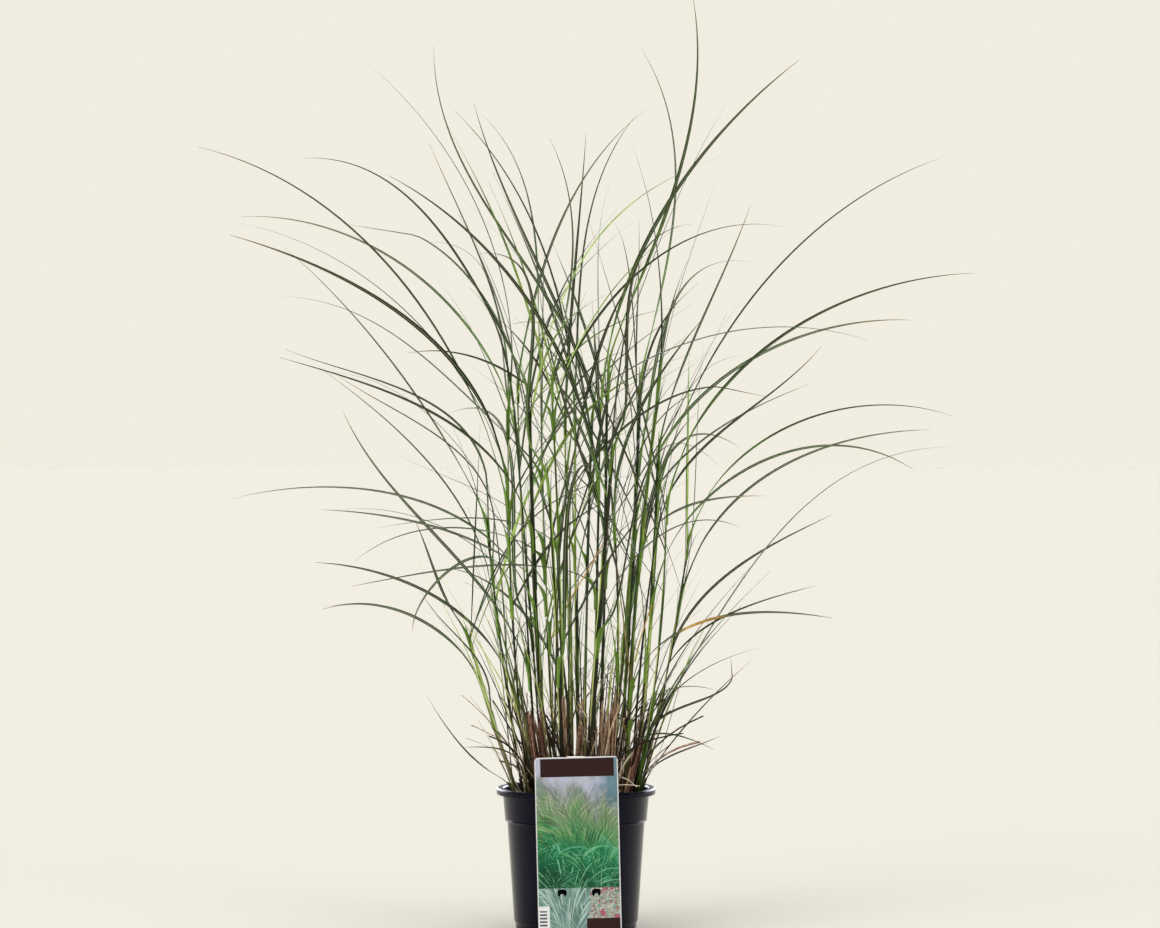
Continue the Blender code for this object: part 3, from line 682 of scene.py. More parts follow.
def black_polypropylene():
    """Injection-moulded recycled polypropylene: blue-black, half gloss, faintly streaked and dusty."""
    material, tree, shader = finish(
        "black_polypropylene", IOR=1.49, Specular_IOR_Level=0.16, Specular_Tint=(0.5, 0.55, 1.0, 1.0)
    )
    where = add(tree, "ShaderNodeTexCoord").outputs["Object"]
    height = add(tree, "ShaderNodeSeparateXYZ", {0: where}).outputs["Z"]
    # Plastic flows up the wall from the gate in the floor, which leaves streaks a few millimetres wide.
    stretch = add(tree, "ShaderNodeMapping", {"Vector": where, "Scale": (160.0, 160.0, 8.0)})
    flow = add(tree, "ShaderNodeTexNoise", {"Vector": stretch, "Scale": 1.0, "Detail": 3.0})
    dust = add(tree, "ShaderNodeTexNoise", {"Vector": where, "Scale": 900.0, "Detail": 2.0})
    specks = add(tree, "ShaderNodeMapRange", {0: dust, 1: 0.64, 2: 0.78, 3: 0.0, 4: 0.3})
    low = add(tree, "ShaderNodeMapRange", {0: height, 1: 0.16, 2: 0.0, 3: 0.25, 4: 1.0})
    settled = add(tree, "ShaderNodeMath", {0: specks, 1: low}, operation="MULTIPLY")
    black = add(tree, "ShaderNodeValToRGB", {0: flow}, stops=[(0.3, "#040409"), (0.7, "#0a0a16")])
    dusty = add(tree, "ShaderNodeMix", {0: settled, 6: black, 7: linear("#5d5348")}, data_type="RGBA")
    peel = add(tree, "ShaderNodeTexNoise", {"Vector": where, "Scale": 420.0, "Detail": 2.0})
    relief = add(tree, "ShaderNodeBump", {"Height": peel, "Strength": 0.12, "Distance": 0.0003})
    gloss = add(tree, "ShaderNodeMapRange", {0: flow, 1: 0.3, 2: 0.7, 3: 0.14, 4: 0.22})
    tree.links.new(dusty.outputs[2], shader.inputs["Base Color"])
    tree.links.new(gloss.outputs[0], shader.inputs["Roughness"])
    tree.links.new(relief.outputs[0], shader.inputs["Normal"])
    return material


def printed_card():
    """Polystyrene card, offset printed and varnished to a satin gloss: a meadow under a plain dark band.
    Its own map runs 0 to 1 across and up the card, and places on the card are such shares."""
    material, tree, shader = finish("printed_card", IOR=1.55, Specular_IOR_Level=0.22, Roughness=0.3)
    where = add(tree, "ShaderNodeUVMap", uv_map="card")
    place = add(tree, "ShaderNodeSeparateXYZ", {0: where})
    across, up = place.outputs["X"], place.outputs["Y"]
    # Noise breaks up the edges between the picture's colours.
    patch = add(tree, "ShaderNodeTexNoise", {"Vector": where, "Scale": 5.0, "Detail": 5.0})

    def printed(ground, layers):
        """The ground with each layer over the last. A layer is how much of it shows, and its colour."""
        for amount, ink in layers:
            colour = linear(ink) if isinstance(ink, str) else ink
            layer = add(tree, "ShaderNodeMix", {0: amount, 6: ground, 7: colour}, data_type="RGBA")
            ground = layer.outputs[2]
        return ground

    def inside(left, right, low, high):
        """1 inside a rectangle of the card, else 0."""
        within = 1.0
        for value, limit, operation in (
            (across, left, "GREATER_THAN"),
            (across, right, "LESS_THAN"),
            (up, low, "GREATER_THAN"),
            (up, high, "LESS_THAN"),
        ):
            side = add(tree, "ShaderNodeMath", {0: value, 1: limit}, operation=operation)
            both = add(tree, "ShaderNodeMath", {0: within, 1: side}, operation="MULTIPLY")
            within = both.outputs[0]
        return within

    def tussock(spot_x, spot_y, arch, blades, threshold):
        """1 on blades that spring from one spot and arch over: noise over the angle from that spot, bent
        further with distance, kept only where it peaks."""
        run = add(tree, "ShaderNodeMath", {0: across, 1: spot_x}, operation="SUBTRACT")
        climb = add(tree, "ShaderNodeMath", {0: up, 1: spot_y}, operation="SUBTRACT")
        # The card is 2.2 times as tall as it is wide.
        rise = add(tree, "ShaderNodeMath", {0: climb, 1: 2.2}, operation="MULTIPLY")
        above = add(tree, "ShaderNodeMath", {0: rise, 1: 0.02}, operation="MAXIMUM")
        angle = add(tree, "ShaderNodeMath", {0: run, 1: above}, operation="ARCTAN2")
        reach = add(tree, "ShaderNodeCombineXYZ", {"X": run, "Y": above})
        far = add(tree, "ShaderNodeVectorMath", {0: reach}, operation="LENGTH")
        further = add(tree, "ShaderNodeMath", {0: far.outputs["Value"], 1: 2.0}, operation="POWER")
        pull = add(tree, "ShaderNodeMath", {0: angle, 1: -0.5 * arch}, operation="MULTIPLY")
        bent = add(tree, "ShaderNodeMath", {0: further, 1: pull, 2: angle}, operation="MULTIPLY_ADD")
        fan = add(tree, "ShaderNodeCombineXYZ", {"X": bent, "Y": far.outputs["Value"], "Z": spot_x})
        drawn = add(tree, "ShaderNodeVectorMath", {0: fan, 1: (blades, 3.0, 40.0)}, operation="MULTIPLY")
        grain = add(
            tree, "ShaderNodeTexNoise", {"Vector": drawn, "Scale": 1.0, "Detail": 1.0, "Distortion": 0.25}
        )
        peak = add(
            tree, "ShaderNodeMapRange", {0: grain, 1: threshold, 2: threshold + 0.06, 3: 0.0, 4: 0.85}
        )
        return peak.outputs[0]

    # The meadow fades from a pale sky through dry plumes to deep green grass, yellower to the right.
    uneven = add(tree, "ShaderNodeMath", {0: patch, 1: 0.4, 2: up}, operation="MULTIPLY_ADD")
    slanted = add(tree, "ShaderNodeMath", {0: across, 1: 0.1, 2: uneven}, operation="MULTIPLY_ADD")
    level = add(tree, "ShaderNodeMath", {0: slanted, 1: 0.25}, operation="SUBTRACT")
    meadow = add(
        tree,
        "ShaderNodeValToRGB",
        {0: level},
        stops=[
            (0.27, "#063f27"),
            (0.38, "#0a5d3a"),
            (0.5, "#1b7c4b"),
            (0.6, "#4d8a50"),
            (0.7, "#729068"),
            (0.79, "#808c88"),
            (0.88, "#b2b6c8"),
        ],
    )
    tussocks = [
        # spot across and up, arch, blades, threshold, colour, lowest and highest it shows
        (0.35, 0.02, 1.1, 52.0, 0.6, "#86cfa2", 0.0, 0.6),
        (0.75, 0.1, 1.3, 56.0, 0.59, "#66ab72", 0.0, 0.64),
        (0.05, 0.15, 1.6, 60.0, 0.6, "#60a683", 0.0, 0.68),
        (0.5, 0.2, 0.5, 90.0, 0.56, "#053a20", 0.0, 0.72),
        (0.62, 0.34, 0.9, 84.0, 0.59, "#a9ba84", 0.5, 0.84),
        (0.25, 0.36, 0.9, 92.0, 0.57, "#b9b1aa", 0.62, 0.95),
        (0.45, 0.3, 0.7, 110.0, 0.57, "#5c5a4c", 0.6, 0.9),
        (0.8, 0.4, 0.6, 90.0, 0.57, "#3f4f36", 0.5, 0.86),
    ]
    layers = []
    for spot_x, spot_y, arch, blades, threshold, colour, lowest, highest in tussocks:
        blade = tussock(spot_x, spot_y, arch, blades, threshold)
        for gone, full in ((highest, highest - 0.16), (lowest, lowest + 0.1)):
            fade = add(tree, "ShaderNodeMapRange", {0: up, 1: gone, 2: full})
            faded = add(tree, "ShaderNodeMath", {0: blade, 1: fade}, operation="MULTIPLY")
            blade = faded.outputs[0]
        layers.append((blade, colour))
    # A blue-green conifer stands in the upper right corner.
    ragged = add(tree, "ShaderNodeMath", {0: patch, 1: 0.7, 2: across}, operation="MULTIPLY_ADD")
    right = add(tree, "ShaderNodeMapRange", {0: ragged, 1: 1.1, 2: 1.22})
    high = add(tree, "ShaderNodeMapRange", {0: up, 1: 0.7, 2: 0.78, 4: 0.75})
    conifer = add(tree, "ShaderNodeMath", {0: right, 1: high}, operation="MULTIPLY")
    layers.append((conifer.outputs[0], "#2f6a74"))
    # The lower picture is silvery grass, with small pink and cream flower heads at its right.
    silver = add(
        tree,
        "ShaderNodeValToRGB",
        {0: patch},
        stops=[(0.35, "#57756c"), (0.5, "#6f9187"), (0.65, "#8ba79c")],
    )
    lower_layers = [
        (tussock(0.4, -0.06, 0.9, 34.0, 0.56), "#466a60"),
        (tussock(0.34, -0.06, 1.2, 34.0, 0.58), "#b9ccc4"),
        (tussock(0.62, -0.06, 1.0, 34.0, 0.6), "#a9bfb2"),
    ]
    rightmost = add(tree, "ShaderNodeMath", {0: ragged, 1: 1.0}, operation="GREATER_THAN")
    for count, size, colour in (
        # flower heads across the card, how much of its cell a head fills, colour
        (30.0, 0.5, "#8f9a80"),
        (24.0, 0.42, "#aaa597"),
        (19.0, 0.36, "#9c5f6c"),
        (34.0, 0.36, "#c9c3b8"),
        (8.0, 0.27, "#a8465f"),
    ):
        round_map = add(
            tree,
            "ShaderNodeMapping",
            {"Vector": where, "Location": (count, size, 0.0), "Scale": (count, count * 2.2, 1.0)},
        )
        petals = add(tree, "ShaderNodeTexVoronoi", {"Vector": round_map, "Scale": 1.0})
        bloom = add(tree, "ShaderNodeMath", {0: petals.outputs["Distance"], 1: size}, operation="LESS_THAN")
        shown = add(tree, "ShaderNodeMath", {0: bloom, 1: rightmost}, operation="MULTIPLY")
        ink = add(tree, "ShaderNodeMath", {0: shown, 1: 0.85}, operation="MULTIPLY")
        lower_layers.append((ink.outputs[0], colour))
    lower = add(tree, "ShaderNodeMath", {0: up, 1: 0.282}, operation="LESS_THAN")
    layers.append((lower.outputs[0], printed(silver.outputs[0], lower_layers)))
    # Plain bands and blocks stand where a label carries its words, and even bars that carry no data.
    layers.append((inside(0.068, 0.952, 0.892, 0.992), "#2a0f0e"))
    layers.append((inside(0.585, 1.1, -0.1, 0.115), "#2a0f0e"))
    layers.append((inside(-0.1, 0.14, -0.1, 0.185), "#e6e6e4"))
    turns = add(tree, "ShaderNodeMath", {0: up, 1: 330.0}, operation="MULTIPLY")
    wave = add(tree, "ShaderNodeMath", {0: turns}, operation="SINE")
    bars = add(tree, "ShaderNodeMath", {0: wave, 1: -0.1}, operation="GREATER_THAN")
    block = inside(0.02, 0.11, -0.1, 0.16)
    barred = add(tree, "ShaderNodeMath", {0: bars, 1: block}, operation="MULTIPLY")
    layers.append((barred.outputs[0], "#55555c"))
    # The card's edge stays unprinted.
    inner = inside(0.012, 0.988, -0.1, 0.994)
    edge = add(tree, "ShaderNodeMath", {0: 1.0, 1: inner}, operation="SUBTRACT")
    layers.append((edge.outputs[0], "#dcd9d6"))
    haze = add(tree, "ShaderNodeTexNoise", {"Vector": where, "Scale": 60.0, "Detail": 2.0})
    relief = add(tree, "ShaderNodeBump", {"Height": haze, "Strength": 0.05, "Distance": 0.0003})
    tree.links.new(printed(meadow.outputs[0], layers), shader.inputs["Base Color"])
    tree.links.new(relief.outputs[0], shader.inputs["Normal"])
    return material


def white_polystyrene():
    """The unprinted back and hook of the card: milky white, faintly uneven."""
    material, tree, shader = finish("white_polystyrene", IOR=1.55, Specular_IOR_Level=0.4)
    where = add(tree, "ShaderNodeTexCoord").outputs["Object"]
    haze = add(tree, "ShaderNodeTexNoise", {"Vector": where, "Scale": 90.0, "Detail": 3.0})
    milk = add(tree, "ShaderNodeValToRGB", {0: haze}, stops=[(0.3, "#d3d1cb"), (0.7, "#e8e6e0")])
    gloss = add(tree, "ShaderNodeMapRange", {0: haze, 1: 0.3, 2: 0.7, 3: 0.34, 4: 0.48})
    tree.links.new(milk.outputs[0], shader.inputs["Base Color"])
    tree.links.new(gloss.outputs[0], shader.inputs["Roughness"])
    return material


SWEEP = sweep_tree()
BLADE = grass_lamina()
SHEATH = leaf_sheath()
CULM = dry_culm()
STRAW = bleached_straw()
PEAT = moist_peat()
PLASTIC = black_polypropylene()
CARD = printed_card()
CARD_BACK = white_polystyrene()


# Grass --------------------------------------------------------------------------------------------

STEM_STEPS = 26
CULM_FOOT_RADIUS = 1.6
CULM_TOP_RADIUS = 1.1
JOINTS = (0.07, 0.2, 0.36, 0.54, 0.74)  # as shares of the stem
SHEATHS = ((0, 0.26), (0, 0.42), (0.05, 0.6), (0.22, 0.78), (0.5, 0.99))  # where each starts and ends
FLARE_FROM = 0.72  # a sheath stands off its stem from this share of its length
FILLERS_A_STEM = 4


def level_way(heading):
    """The level way at a heading."""
    return Vector((math.cos(heading), math.sin(heading), 0))


def along_stem(stem, low, high, out, gap, flare, steps):
    """Points beside a stem between two heights: gap out from its middle, and flare further out at the end."""
    points = []
    for step in range(steps + 1):
        share = step / steps
        loose = max(share - FLARE_FROM, 0) / (1 - FLARE_FROM)
        away = gap * (1 - 0.35 * share) + flare * loose**2
        points.append(stem_point(stem, mix(low, high, share)) + out * away)
    return points


def stem_strands(stem, rng):
    """A stem is a thin culm, a little thicker at each joint, in sheaths that end one above the other."""
    top = stem.top[2] + 6
    start = rng.uniform(-0.04, 0.04)
    girth = rng.choice((0.65, 0.75, 0.9, 1.1, 1.25))

    def culm_width(share):
        swell = sum(math.exp(-(((share - joint - start) / 0.012) ** 2)) for joint in JOINTS)
        ending = 1 - 0.8 * smooth((share - 0.9) / 0.1)
        return girth * mix(CULM_FOOT_RADIUS, CULM_TOP_RADIUS, share) * (1 + 0.18 * swell) * ending

    middle = along_stem(stem, SOCKET_FLOOR, top, Vector((0, 0, 0)), 0, 0, STEM_STEPS)
    core_tone = rng.uniform(0.0, 0.55)
    strands = [strand(middle, Vector((1, 0, 0)), culm_width, 0.0, core_tone, roll=rng.uniform(0, 3))]
    first = rng.uniform(0, 2 * math.pi)
    for place, (low, high) in enumerate(SHEATHS):
        turn = first + place * 2.4 + rng.uniform(-0.4, 0.4)
        out = level_way(turn)
        low = mix(SOCKET_FLOOR, top, low)
        high = mix(SOCKET_FLOOR, top, high + rng.uniform(-0.05, 0.02))
        points = along_stem(stem, low, high, out, girth * rng.uniform(1.1, 1.6), rng.uniform(0.5, 5), 18)
        full = girth * rng.uniform(0.6, 1.3)
        # The newest sheath is often pale, and the oldest two are often dry.
        newest = place == len(SHEATHS) - 1
        tone = rng.choice((0.1, 0.7, 1.2) if newest else (-0.25, -0.1, 0.05, 0.25, 0.5, 0.85, 1.15))
        dry = rng.choice((0.0, 0.6, 1.0) if place < 2 else (0.0, 0.0, 0.0, 0.25))

        def width_at(share, full=full):
            return max(full * smooth((share + 0.1) / 0.2) * (1 - smooth((share - 0.78) / 0.24)), 0.2)

        def tone_at(share, tone=tone):
            return mix(tone, min(tone, 0.3), smooth((share - 0.7) / 0.3))

        strands.append(strand(points, UP.cross(out), width_at, 0.5, tone_at, dry))
    return strands


def free_blade(start, heading, length, rise, fall, steps=22):
    """Points of a blade that leaves start at the angle rise over the level, and ends at the angle fall."""
    point = start.copy()
    points = [point.copy()]
    out = level_way(heading)
    for step in range(steps):
        angle = mix(rise, fall, smooth((step + 0.5) / steps) ** 1.2)
        point += (out * math.cos(angle) + UP * math.sin(angle)) * (length / steps)
        points.append(point.copy())
    return points


def allowed(point):
    """Whether the clump's dense middle, which widens upwards, reaches a point."""
    reach = min(66 + 0.36 * (point.z - 150), 158)
    return abs(point.x - 8) < reach and abs(point.y) < reach + 120 and point.z < 850


def filler(stem, rng):
    """A thin leaf in the dense middle of the clump, or None where it would stick out."""
    height = mix(220, stem.top[2] * 0.98, rng.random() ** 0.4)
    start = stem_point(stem, height)
    heading = rng.uniform(0, 2 * math.pi)
    length = rng.uniform(150, 380)
    rise = math.radians(rng.uniform(54, 82))
    fall = math.radians(rng.uniform(5, 66))
    points = free_blade(start, heading, length, rise, fall)
    if not all(allowed(point) for point in points):
        return None
    thin = rng.uniform(0.8, 1.9)
    wide = level_way(heading).cross(UP)

    def width_at(share):
        return max(thin * mix(0.7, 1.0, smooth(share / 0.3)) * (1 - smooth((share - 0.4) / 0.62)), 0.12)

    roll = rng.uniform(0.3, 1.2) * rng.choice((-1, 1))
    tone = rng.choice((-0.15, 0.0, 0.15, 0.35, 0.9))
    return strand(points, wide, width_at, 0.3, tone, 0.0, 0.0, roll, rng.uniform(-0.8, 0.8))


def dry_tip(amount, rng):
    """A leaf's dryness along its way: only its last few centimetres, if any."""
    from_here = rng.uniform(0.8, 0.95)
    return lambda share: amount * smooth((share - from_here) / 0.08)


def scorched(share):
    """The dryness along the leaf that has an orange patch in its middle."""
    return 0.85 * smooth((share - 0.36) / 0.05) * (1 - smooth((share - 0.52) / 0.06))


def leaves_of(number, stem):
    """All the strands of leaves that one stem bears."""
    rng = random.Random(1000 + number)
    half_width = rng.uniform(1.7, 2.3)
    tone = rng.uniform(0.15, 0.6)
    strands = [leaf_strand(stem, stem.top[2], stem, half_width, tone, dry_tip(0.2, rng), rng)]
    for place, row in enumerate(FRAME_LEAVES, 1):
        if row.stem == number:
            tip = dry_tip(0.2, rng)
            dry = scorched if place == SCORCHED_LEAF else tip
            half_width = rng.uniform(1.5, 2.3)
            tone = rng.uniform(0.0, 0.55)
            strands.append(leaf_strand(stem, row.height, row, half_width, tone, dry, rng))
    for row in FINE_LEAVES:
        if row.stem == number:
            half_width = rng.uniform(0.9, 1.7)
            tone = rng.uniform(0.0, 0.6)
            strands.append(leaf_strand(stem, row.height, row, half_width, tone, dry_tip(0.3, rng), rng))
    tried = [filler(stem, rng) for _ in range(60)]
    return strands + [made for made in tried if made][:FILLERS_A_STEM]


def keep(piece, slot, *nodes):
    """Hands a finished piece to the frame: it rides on the root, and stands for nodes."""
    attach(piece, "root")
    if nodes:
        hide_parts(*nodes)
    return piece


for number, stem in enumerate(STEMS, 1):
    culm = swept(f"sheathed_stem_{number:02d}", stem_strands(stem, random.Random(number)), 10, 0.55, SHEATH)
    keep(culm, "stem_green", f"stem_{number:02d}")
    stands_for = [f"leaf_{place:02d}" for place, row in enumerate(FRAME_LEAVES, 1) if row.stem == number]
    blades = swept(f"leaf_blades_{number:02d}", leaves_of(number, stem), 8, 0.14, BLADE)
    keep(blades, "leaf_green", *stands_for)


def young_shoots(name, seed, count, centre, spread, lean, lengths, tones):
    """Thin shoots that come up between the stems. Each is one rolled leaf that tapers to its tip."""
    rng = random.Random(seed)
    strands = []
    for _ in range(count):
        foot = Vector((centre[0] + rng.gauss(0, spread), centre[1] + rng.gauss(0, spread), SOCKET_FLOOR))
        flat = Vector((foot.x, foot.y))
        if flat.length > 66:
            flat *= 66 / flat.length
            foot.x, foot.y = flat
        length = rng.uniform(*lengths)
        heading = math.atan2(foot.y, foot.x) + rng.uniform(-0.5, 0.5)
        rise = math.radians(90 - rng.uniform(*lean))
        fall = rise - math.radians(rng.uniform(0, 30))
        points = free_blade(foot, heading, length, rise, fall)
        thick = rng.uniform(0.7, 1.7)
        wide = level_way(heading).cross(UP)

        def width_at(share, thick=thick):
            return max(thick * (1 - smooth((share - 0.25) / 0.8) * 0.92), 0.14)

        tone = rng.uniform(*tones)
        roll = rng.uniform(-1, 1)
        twist = rng.uniform(-1, 1)
        strands.append(strand(points, wide, width_at, 0.45, tone, roll=roll, twist=twist))
    return keep(swept(name, strands, 8, 0.4, SHEATH), "stem_green")


# seed, count, centre, spread about it, degrees off upright, lengths, tones
young_shoots("young_shoots_left", 21, 20, (-48, -14), 11, (4, 24), (90, 300), (-0.1, 1.3))
young_shoots("young_shoots_right", 22, 18, (48, -8), 12, (4, 24), (120, 330), (-0.1, 0.9))
young_shoots("young_shoots_middle", 23, 14, (2, -4), 26, (0, 10), (120, 480), (-0.2, 0.9))
young_shoots("young_shoots_back", 24, 14, (0, 40), 16, (4, 20), (120, 330), (0.1, 0.9))


def low_leaves(name, seed, count):
    """Short thin dark leaves that leave the stems low down and cross one another."""
    rng = random.Random(seed)
    strands = []
    for _ in range(count):
        stem = rng.choice(STEMS)
        start = stem_point(stem, rng.uniform(160, 290))
        heading = rng.uniform(0, 2 * math.pi)
        rise = math.radians(rng.uniform(52, 86))
        fall = rise - math.radians(rng.uniform(0, 60))
        points = free_blade(start, heading, rng.uniform(50, 170), rise, fall, 12)
        if not all(allowed(point) for point in points):
            continue
        thick = rng.uniform(0.4, 1.1)
        wide = level_way(heading).cross(UP)

        def width_at(share, thick=thick):
            return max(thick * (1 - smooth((share - 0.3) / 0.75)), 0.12)

        tone = rng.choice((-0.1, 0.0, 0.1, 0.3, 0.6))
        dry = rng.choice((0.0, 0.0, 0.0, 0.0, 0.0, 0.0, 0.0, 0.6))
        roll = rng.uniform(-1.2, 1.2)
        twist = rng.uniform(-1, 1)
        strands.append(strand(points, wide, width_at, 0.4, tone, dry, roll=roll, twist=twist))
    return keep(swept(name, strands, 6, 0.2, BLADE), "leaf_green")


low_leaves("low_leaves", 31, 70)


# Dry stalks and straw -----------------------------------------------------------------------------

STRIPS_A_STALK = 14
LOOSE_STRIPS = 190
TORN_SHEATHS = 40
MIX_LEVEL = 150.0
MIX_EDGE_LEVEL = 146.0


def stalk_bundle(number, stub):
    """A cut stalk in its torn sheaths: flat strips round a core, each torn off at its own height."""
    rng = random.Random(500 + number)
    foot = Vector((*stub.foot, SOCKET_FLOOR))
    top = Vector(stub.top)
    strands = []
    for strip in range(STRIPS_A_STALK):
        turn = 2.4 * strip + rng.uniform(-0.3, 0.3)
        out = level_way(turn)
        reach = rng.uniform(0.5, 1.0)
        spread = stub.radius * 1.3 * math.sqrt((strip + 0.5) / STRIPS_A_STALK)
        flare = rng.uniform(-0.5, 2.5)
        points = []
        for step in range(11):
            share = step / 10 * reach
            points.append(mix(foot, top, share) + out * (spread + flare * max(share - 0.45, 0) ** 2 * 6))
        width = rng.uniform(0.7, 1.9)
        tone = rng.uniform(0.0, 0.9)

        def width_at(share, width=width):
            return width * (1 - smooth((share - 0.9) / 0.12) * 0.7)

        strands.append(strand(points, out.cross(UP), width_at, 0.35, tone, 1.0))
    bundle = swept(f"dry_stalk_{number:02d}", strands, 8, 0.3, CULM)
    return keep(bundle, "dry_stalk", f"old_stub_{number:02d}")


for number, stub in enumerate(STUBS, 1):
    stalk_bundle(number, stub)


def litter():
    """Short dry strips that stand and lean between the feet of the stems, and a few loose ones on top."""
    rng = random.Random(77)
    strands = []
    for _ in range(LOOSE_STRIPS):
        place = rng.uniform(0, 2 * math.pi)
        reach = 60 * math.sqrt(rng.random())
        foot = Vector((reach * math.cos(place), reach * math.sin(place), MIX_LEVEL - 6))
        heading = place + rng.uniform(-1.3, 1.3)
        length = rng.choice((20, 30, 45, 70, 95, 120)) * rng.uniform(0.8, 1.2)
        rise = math.radians(rng.uniform(55, 90))
        fall = rise - math.radians(rng.uniform(-10, 50))
        points = free_blade(foot, heading, length, rise, fall, 8)
        width = rng.uniform(0.3, 1.3)
        wide = level_way(heading).cross(UP)
        tone = rng.uniform(-0.85, 0.7)
        roll = rng.uniform(-1.5, 1.5)
        strands.append(strand(points, wide, width, 0.3, tone, 1.0, roll=roll, twist=1.0))
    # Torn sheaths stand between the stems, most of them at the front.
    for _ in range(TORN_SHEATHS):
        foot = Vector((rng.uniform(-54, 58), rng.uniform(-50, 10), MIX_LEVEL - 6))
        foot.y *= math.sqrt(max(1 - (foot.x / 64) ** 2, 0))
        heading = math.atan2(foot.y, foot.x) + rng.uniform(-0.6, 0.6)
        rise = math.radians(rng.uniform(76, 90))
        fall = rise - math.radians(rng.uniform(-6, 26))
        points = free_blade(foot, heading, rng.uniform(55, 135), rise, fall, 8)
        width = rng.uniform(0.7, 1.7)
        wide = level_way(heading).cross(UP)
        tone = rng.uniform(-0.5, 0.25)
        roll = rng.uniform(-0.8, 0.8)
        strands.append(strand(points, wide, width, 0.5, tone, 1.0, roll=roll, twist=0.6))
    loose = [
        ((1, -46, 250), (10, -48, 236), (20, -52, 218)),
        ((6, -50, 213), (12, -51, 209), (18, -52, 205)),
        ((43, -70, 164), (55, -62, 163.5), (67, -50, 161)),
        ((48, -66, 172), (56, -60, 168), (64, -52, 160)),
        ((-20, -60, 176), (-6, -58, 186), (6, -55, 190)),
    ]
    for row in loose:
        points = [Vector(point) for point in row]
        strands.append(strand(points, Vector((0.3, 1, 0)), 0.8, 0.2, 0.85, 1.0))
    return keep(swept("straw_litter", strands, 6, 0.3, STRAW), "dry_stalk")


litter()


def dead_leaves():
    """Two leaves that have turned orange inside the clump."""
    rows = [
        ((-26, -48, 318), (-15, -52, 341), (2, -58, 372), (19, -62, 400), (30, -62, 420)),
        ((62, -50, 292), (66, -52, 310), (72, -54, 330), (80, -54, 352)),
    ]

    def width_at(share):
        return 1.3 - 0.7 * share

    def dry_at(share):
        return 0.3 + 0.6 * smooth(share * 1.6)

    strands = []
    for row in rows:
        points = [Vector(point) for point in row]
        strands.append(strand(points, Vector((0.2, 1, 0)), width_at, 0.3, 0.6, dry_at, roll=1.1))
    return keep(swept("dead_leaves", strands, 8, 0.2, BLADE), "leaf_green")


dead_leaves()


# Pot and mix --------------------------------------------------------------------------------------

WALL = 1.6
RIM_RADIUS = 85.0
RIM_TOP = 155.0
RIM_BOTTOM = 148.2
COLLAR_TOP_RADIUS = 78.7
COLLAR_BOTTOM_RADIUS = 75.8
STEP_HEIGHT = 119.8
BODY_TOP_RADIUS = 73.5
BODY_BOTTOM_RADIUS = 66.2
FOOT_HEIGHT = 12.8
FOOT_RADIUS = 65.0
BASE_RADIUS = 62.5
FLOOR_THICKNESS = 2.0
DRAIN_HOLES = 8
DRAIN_WIDTH = 12.0
DRAIN_HEIGHT = 8.0
DRAIN_INNER_RADIUS = 54.0
TURNED_SIDES = 160


def filleted(profile, radius, steps=3):
    """The profile of (radius, height), with each corner off the axis rounded."""
    made = [profile[0]]
    for before, corner, after in zip(profile, profile[1:], profile[2:]):
        corner, before, after = Vector(corner), Vector(before), Vector(after)
        back = (before - corner).normalized() * min(radius, (before - corner).length * 0.45)
        on = (after - corner).normalized() * min(radius, (after - corner).length * 0.45)
        for step in range(steps + 1):
            share = step / steps
            made.append(tuple(corner + back * (1 - share) ** 2 + on * share**2))
    return made + [profile[-1]]


def turned(name, profile, material, sides=TURNED_SIDES):
    """A round piece from a profile listed from the axis, out, up and back to the axis."""
    points = []
    rings = []
    for radius, height in profile:
        count = 1 if radius == 0 else sides
        rings.append([len(points) + side % count for side in range(sides)])
        for side in range(count):
            angle = 2 * math.pi * side / sides
            points.append(Vector((radius * math.cos(angle), radius * math.sin(angle), height)) * MM)
    faces = []
    for low, high in zip(rings, rings[1:]):
        for side in range(sides):
            after = (side + 1) % sides
            corners = [low[side], low[after], high[after], high[side]]
            faces.append(list(dict.fromkeys(corners)))
    mesh = bpy.data.meshes.new(name)
    mesh.from_pydata(points, [], faces)
    mesh.materials.append(material)
    return placed(name, mesh)


def made_of(shape, name):
    """A new object from a bmesh, which is used up."""
    mesh = bpy.data.meshes.new(name)
    shape.to_mesh(mesh)
    shape.free()
    return placed(name, mesh)


def block(name, turn, low, high):
    """A box between two corners, turned about the pot's axis."""
    shape = bmesh.new()
    bmesh.ops.create_cube(shape, size=1)
    for vertex in shape.verts:
        for axis in range(3):
            vertex.co[axis] = mix(low[axis], high[axis], vertex.co[axis] + 0.5) * MM
    bmesh.ops.rotate(shape, verts=shape.verts, cent=(0, 0, 0), matrix=Matrix.Rotation(turn, 3, "Z"))
    return made_of(shape, name)


def cut(obj, cutters):
    """The object with its cutters taken out of it, which are used up."""
    for cutter in cutters:
        boolean = obj.modifiers.new(cutter.name, "BOOLEAN")
        boolean.operation = "DIFFERENCE"
        boolean.solver = "EXACT"
        boolean.object = cutter
    mesh = evaluated_mesh(obj)
    obj.modifiers.clear()
    obj.data = mesh
    for cutter in cutters:
        bpy.data.objects.remove(cutter)
    return obj


def shade(obj, degrees):
    """The object shaded smooth, but for edges sharper than this."""
    obj.data.shade_smooth()
    obj.data.set_sharp_from_angle(angle=math.radians(degrees))
    return obj


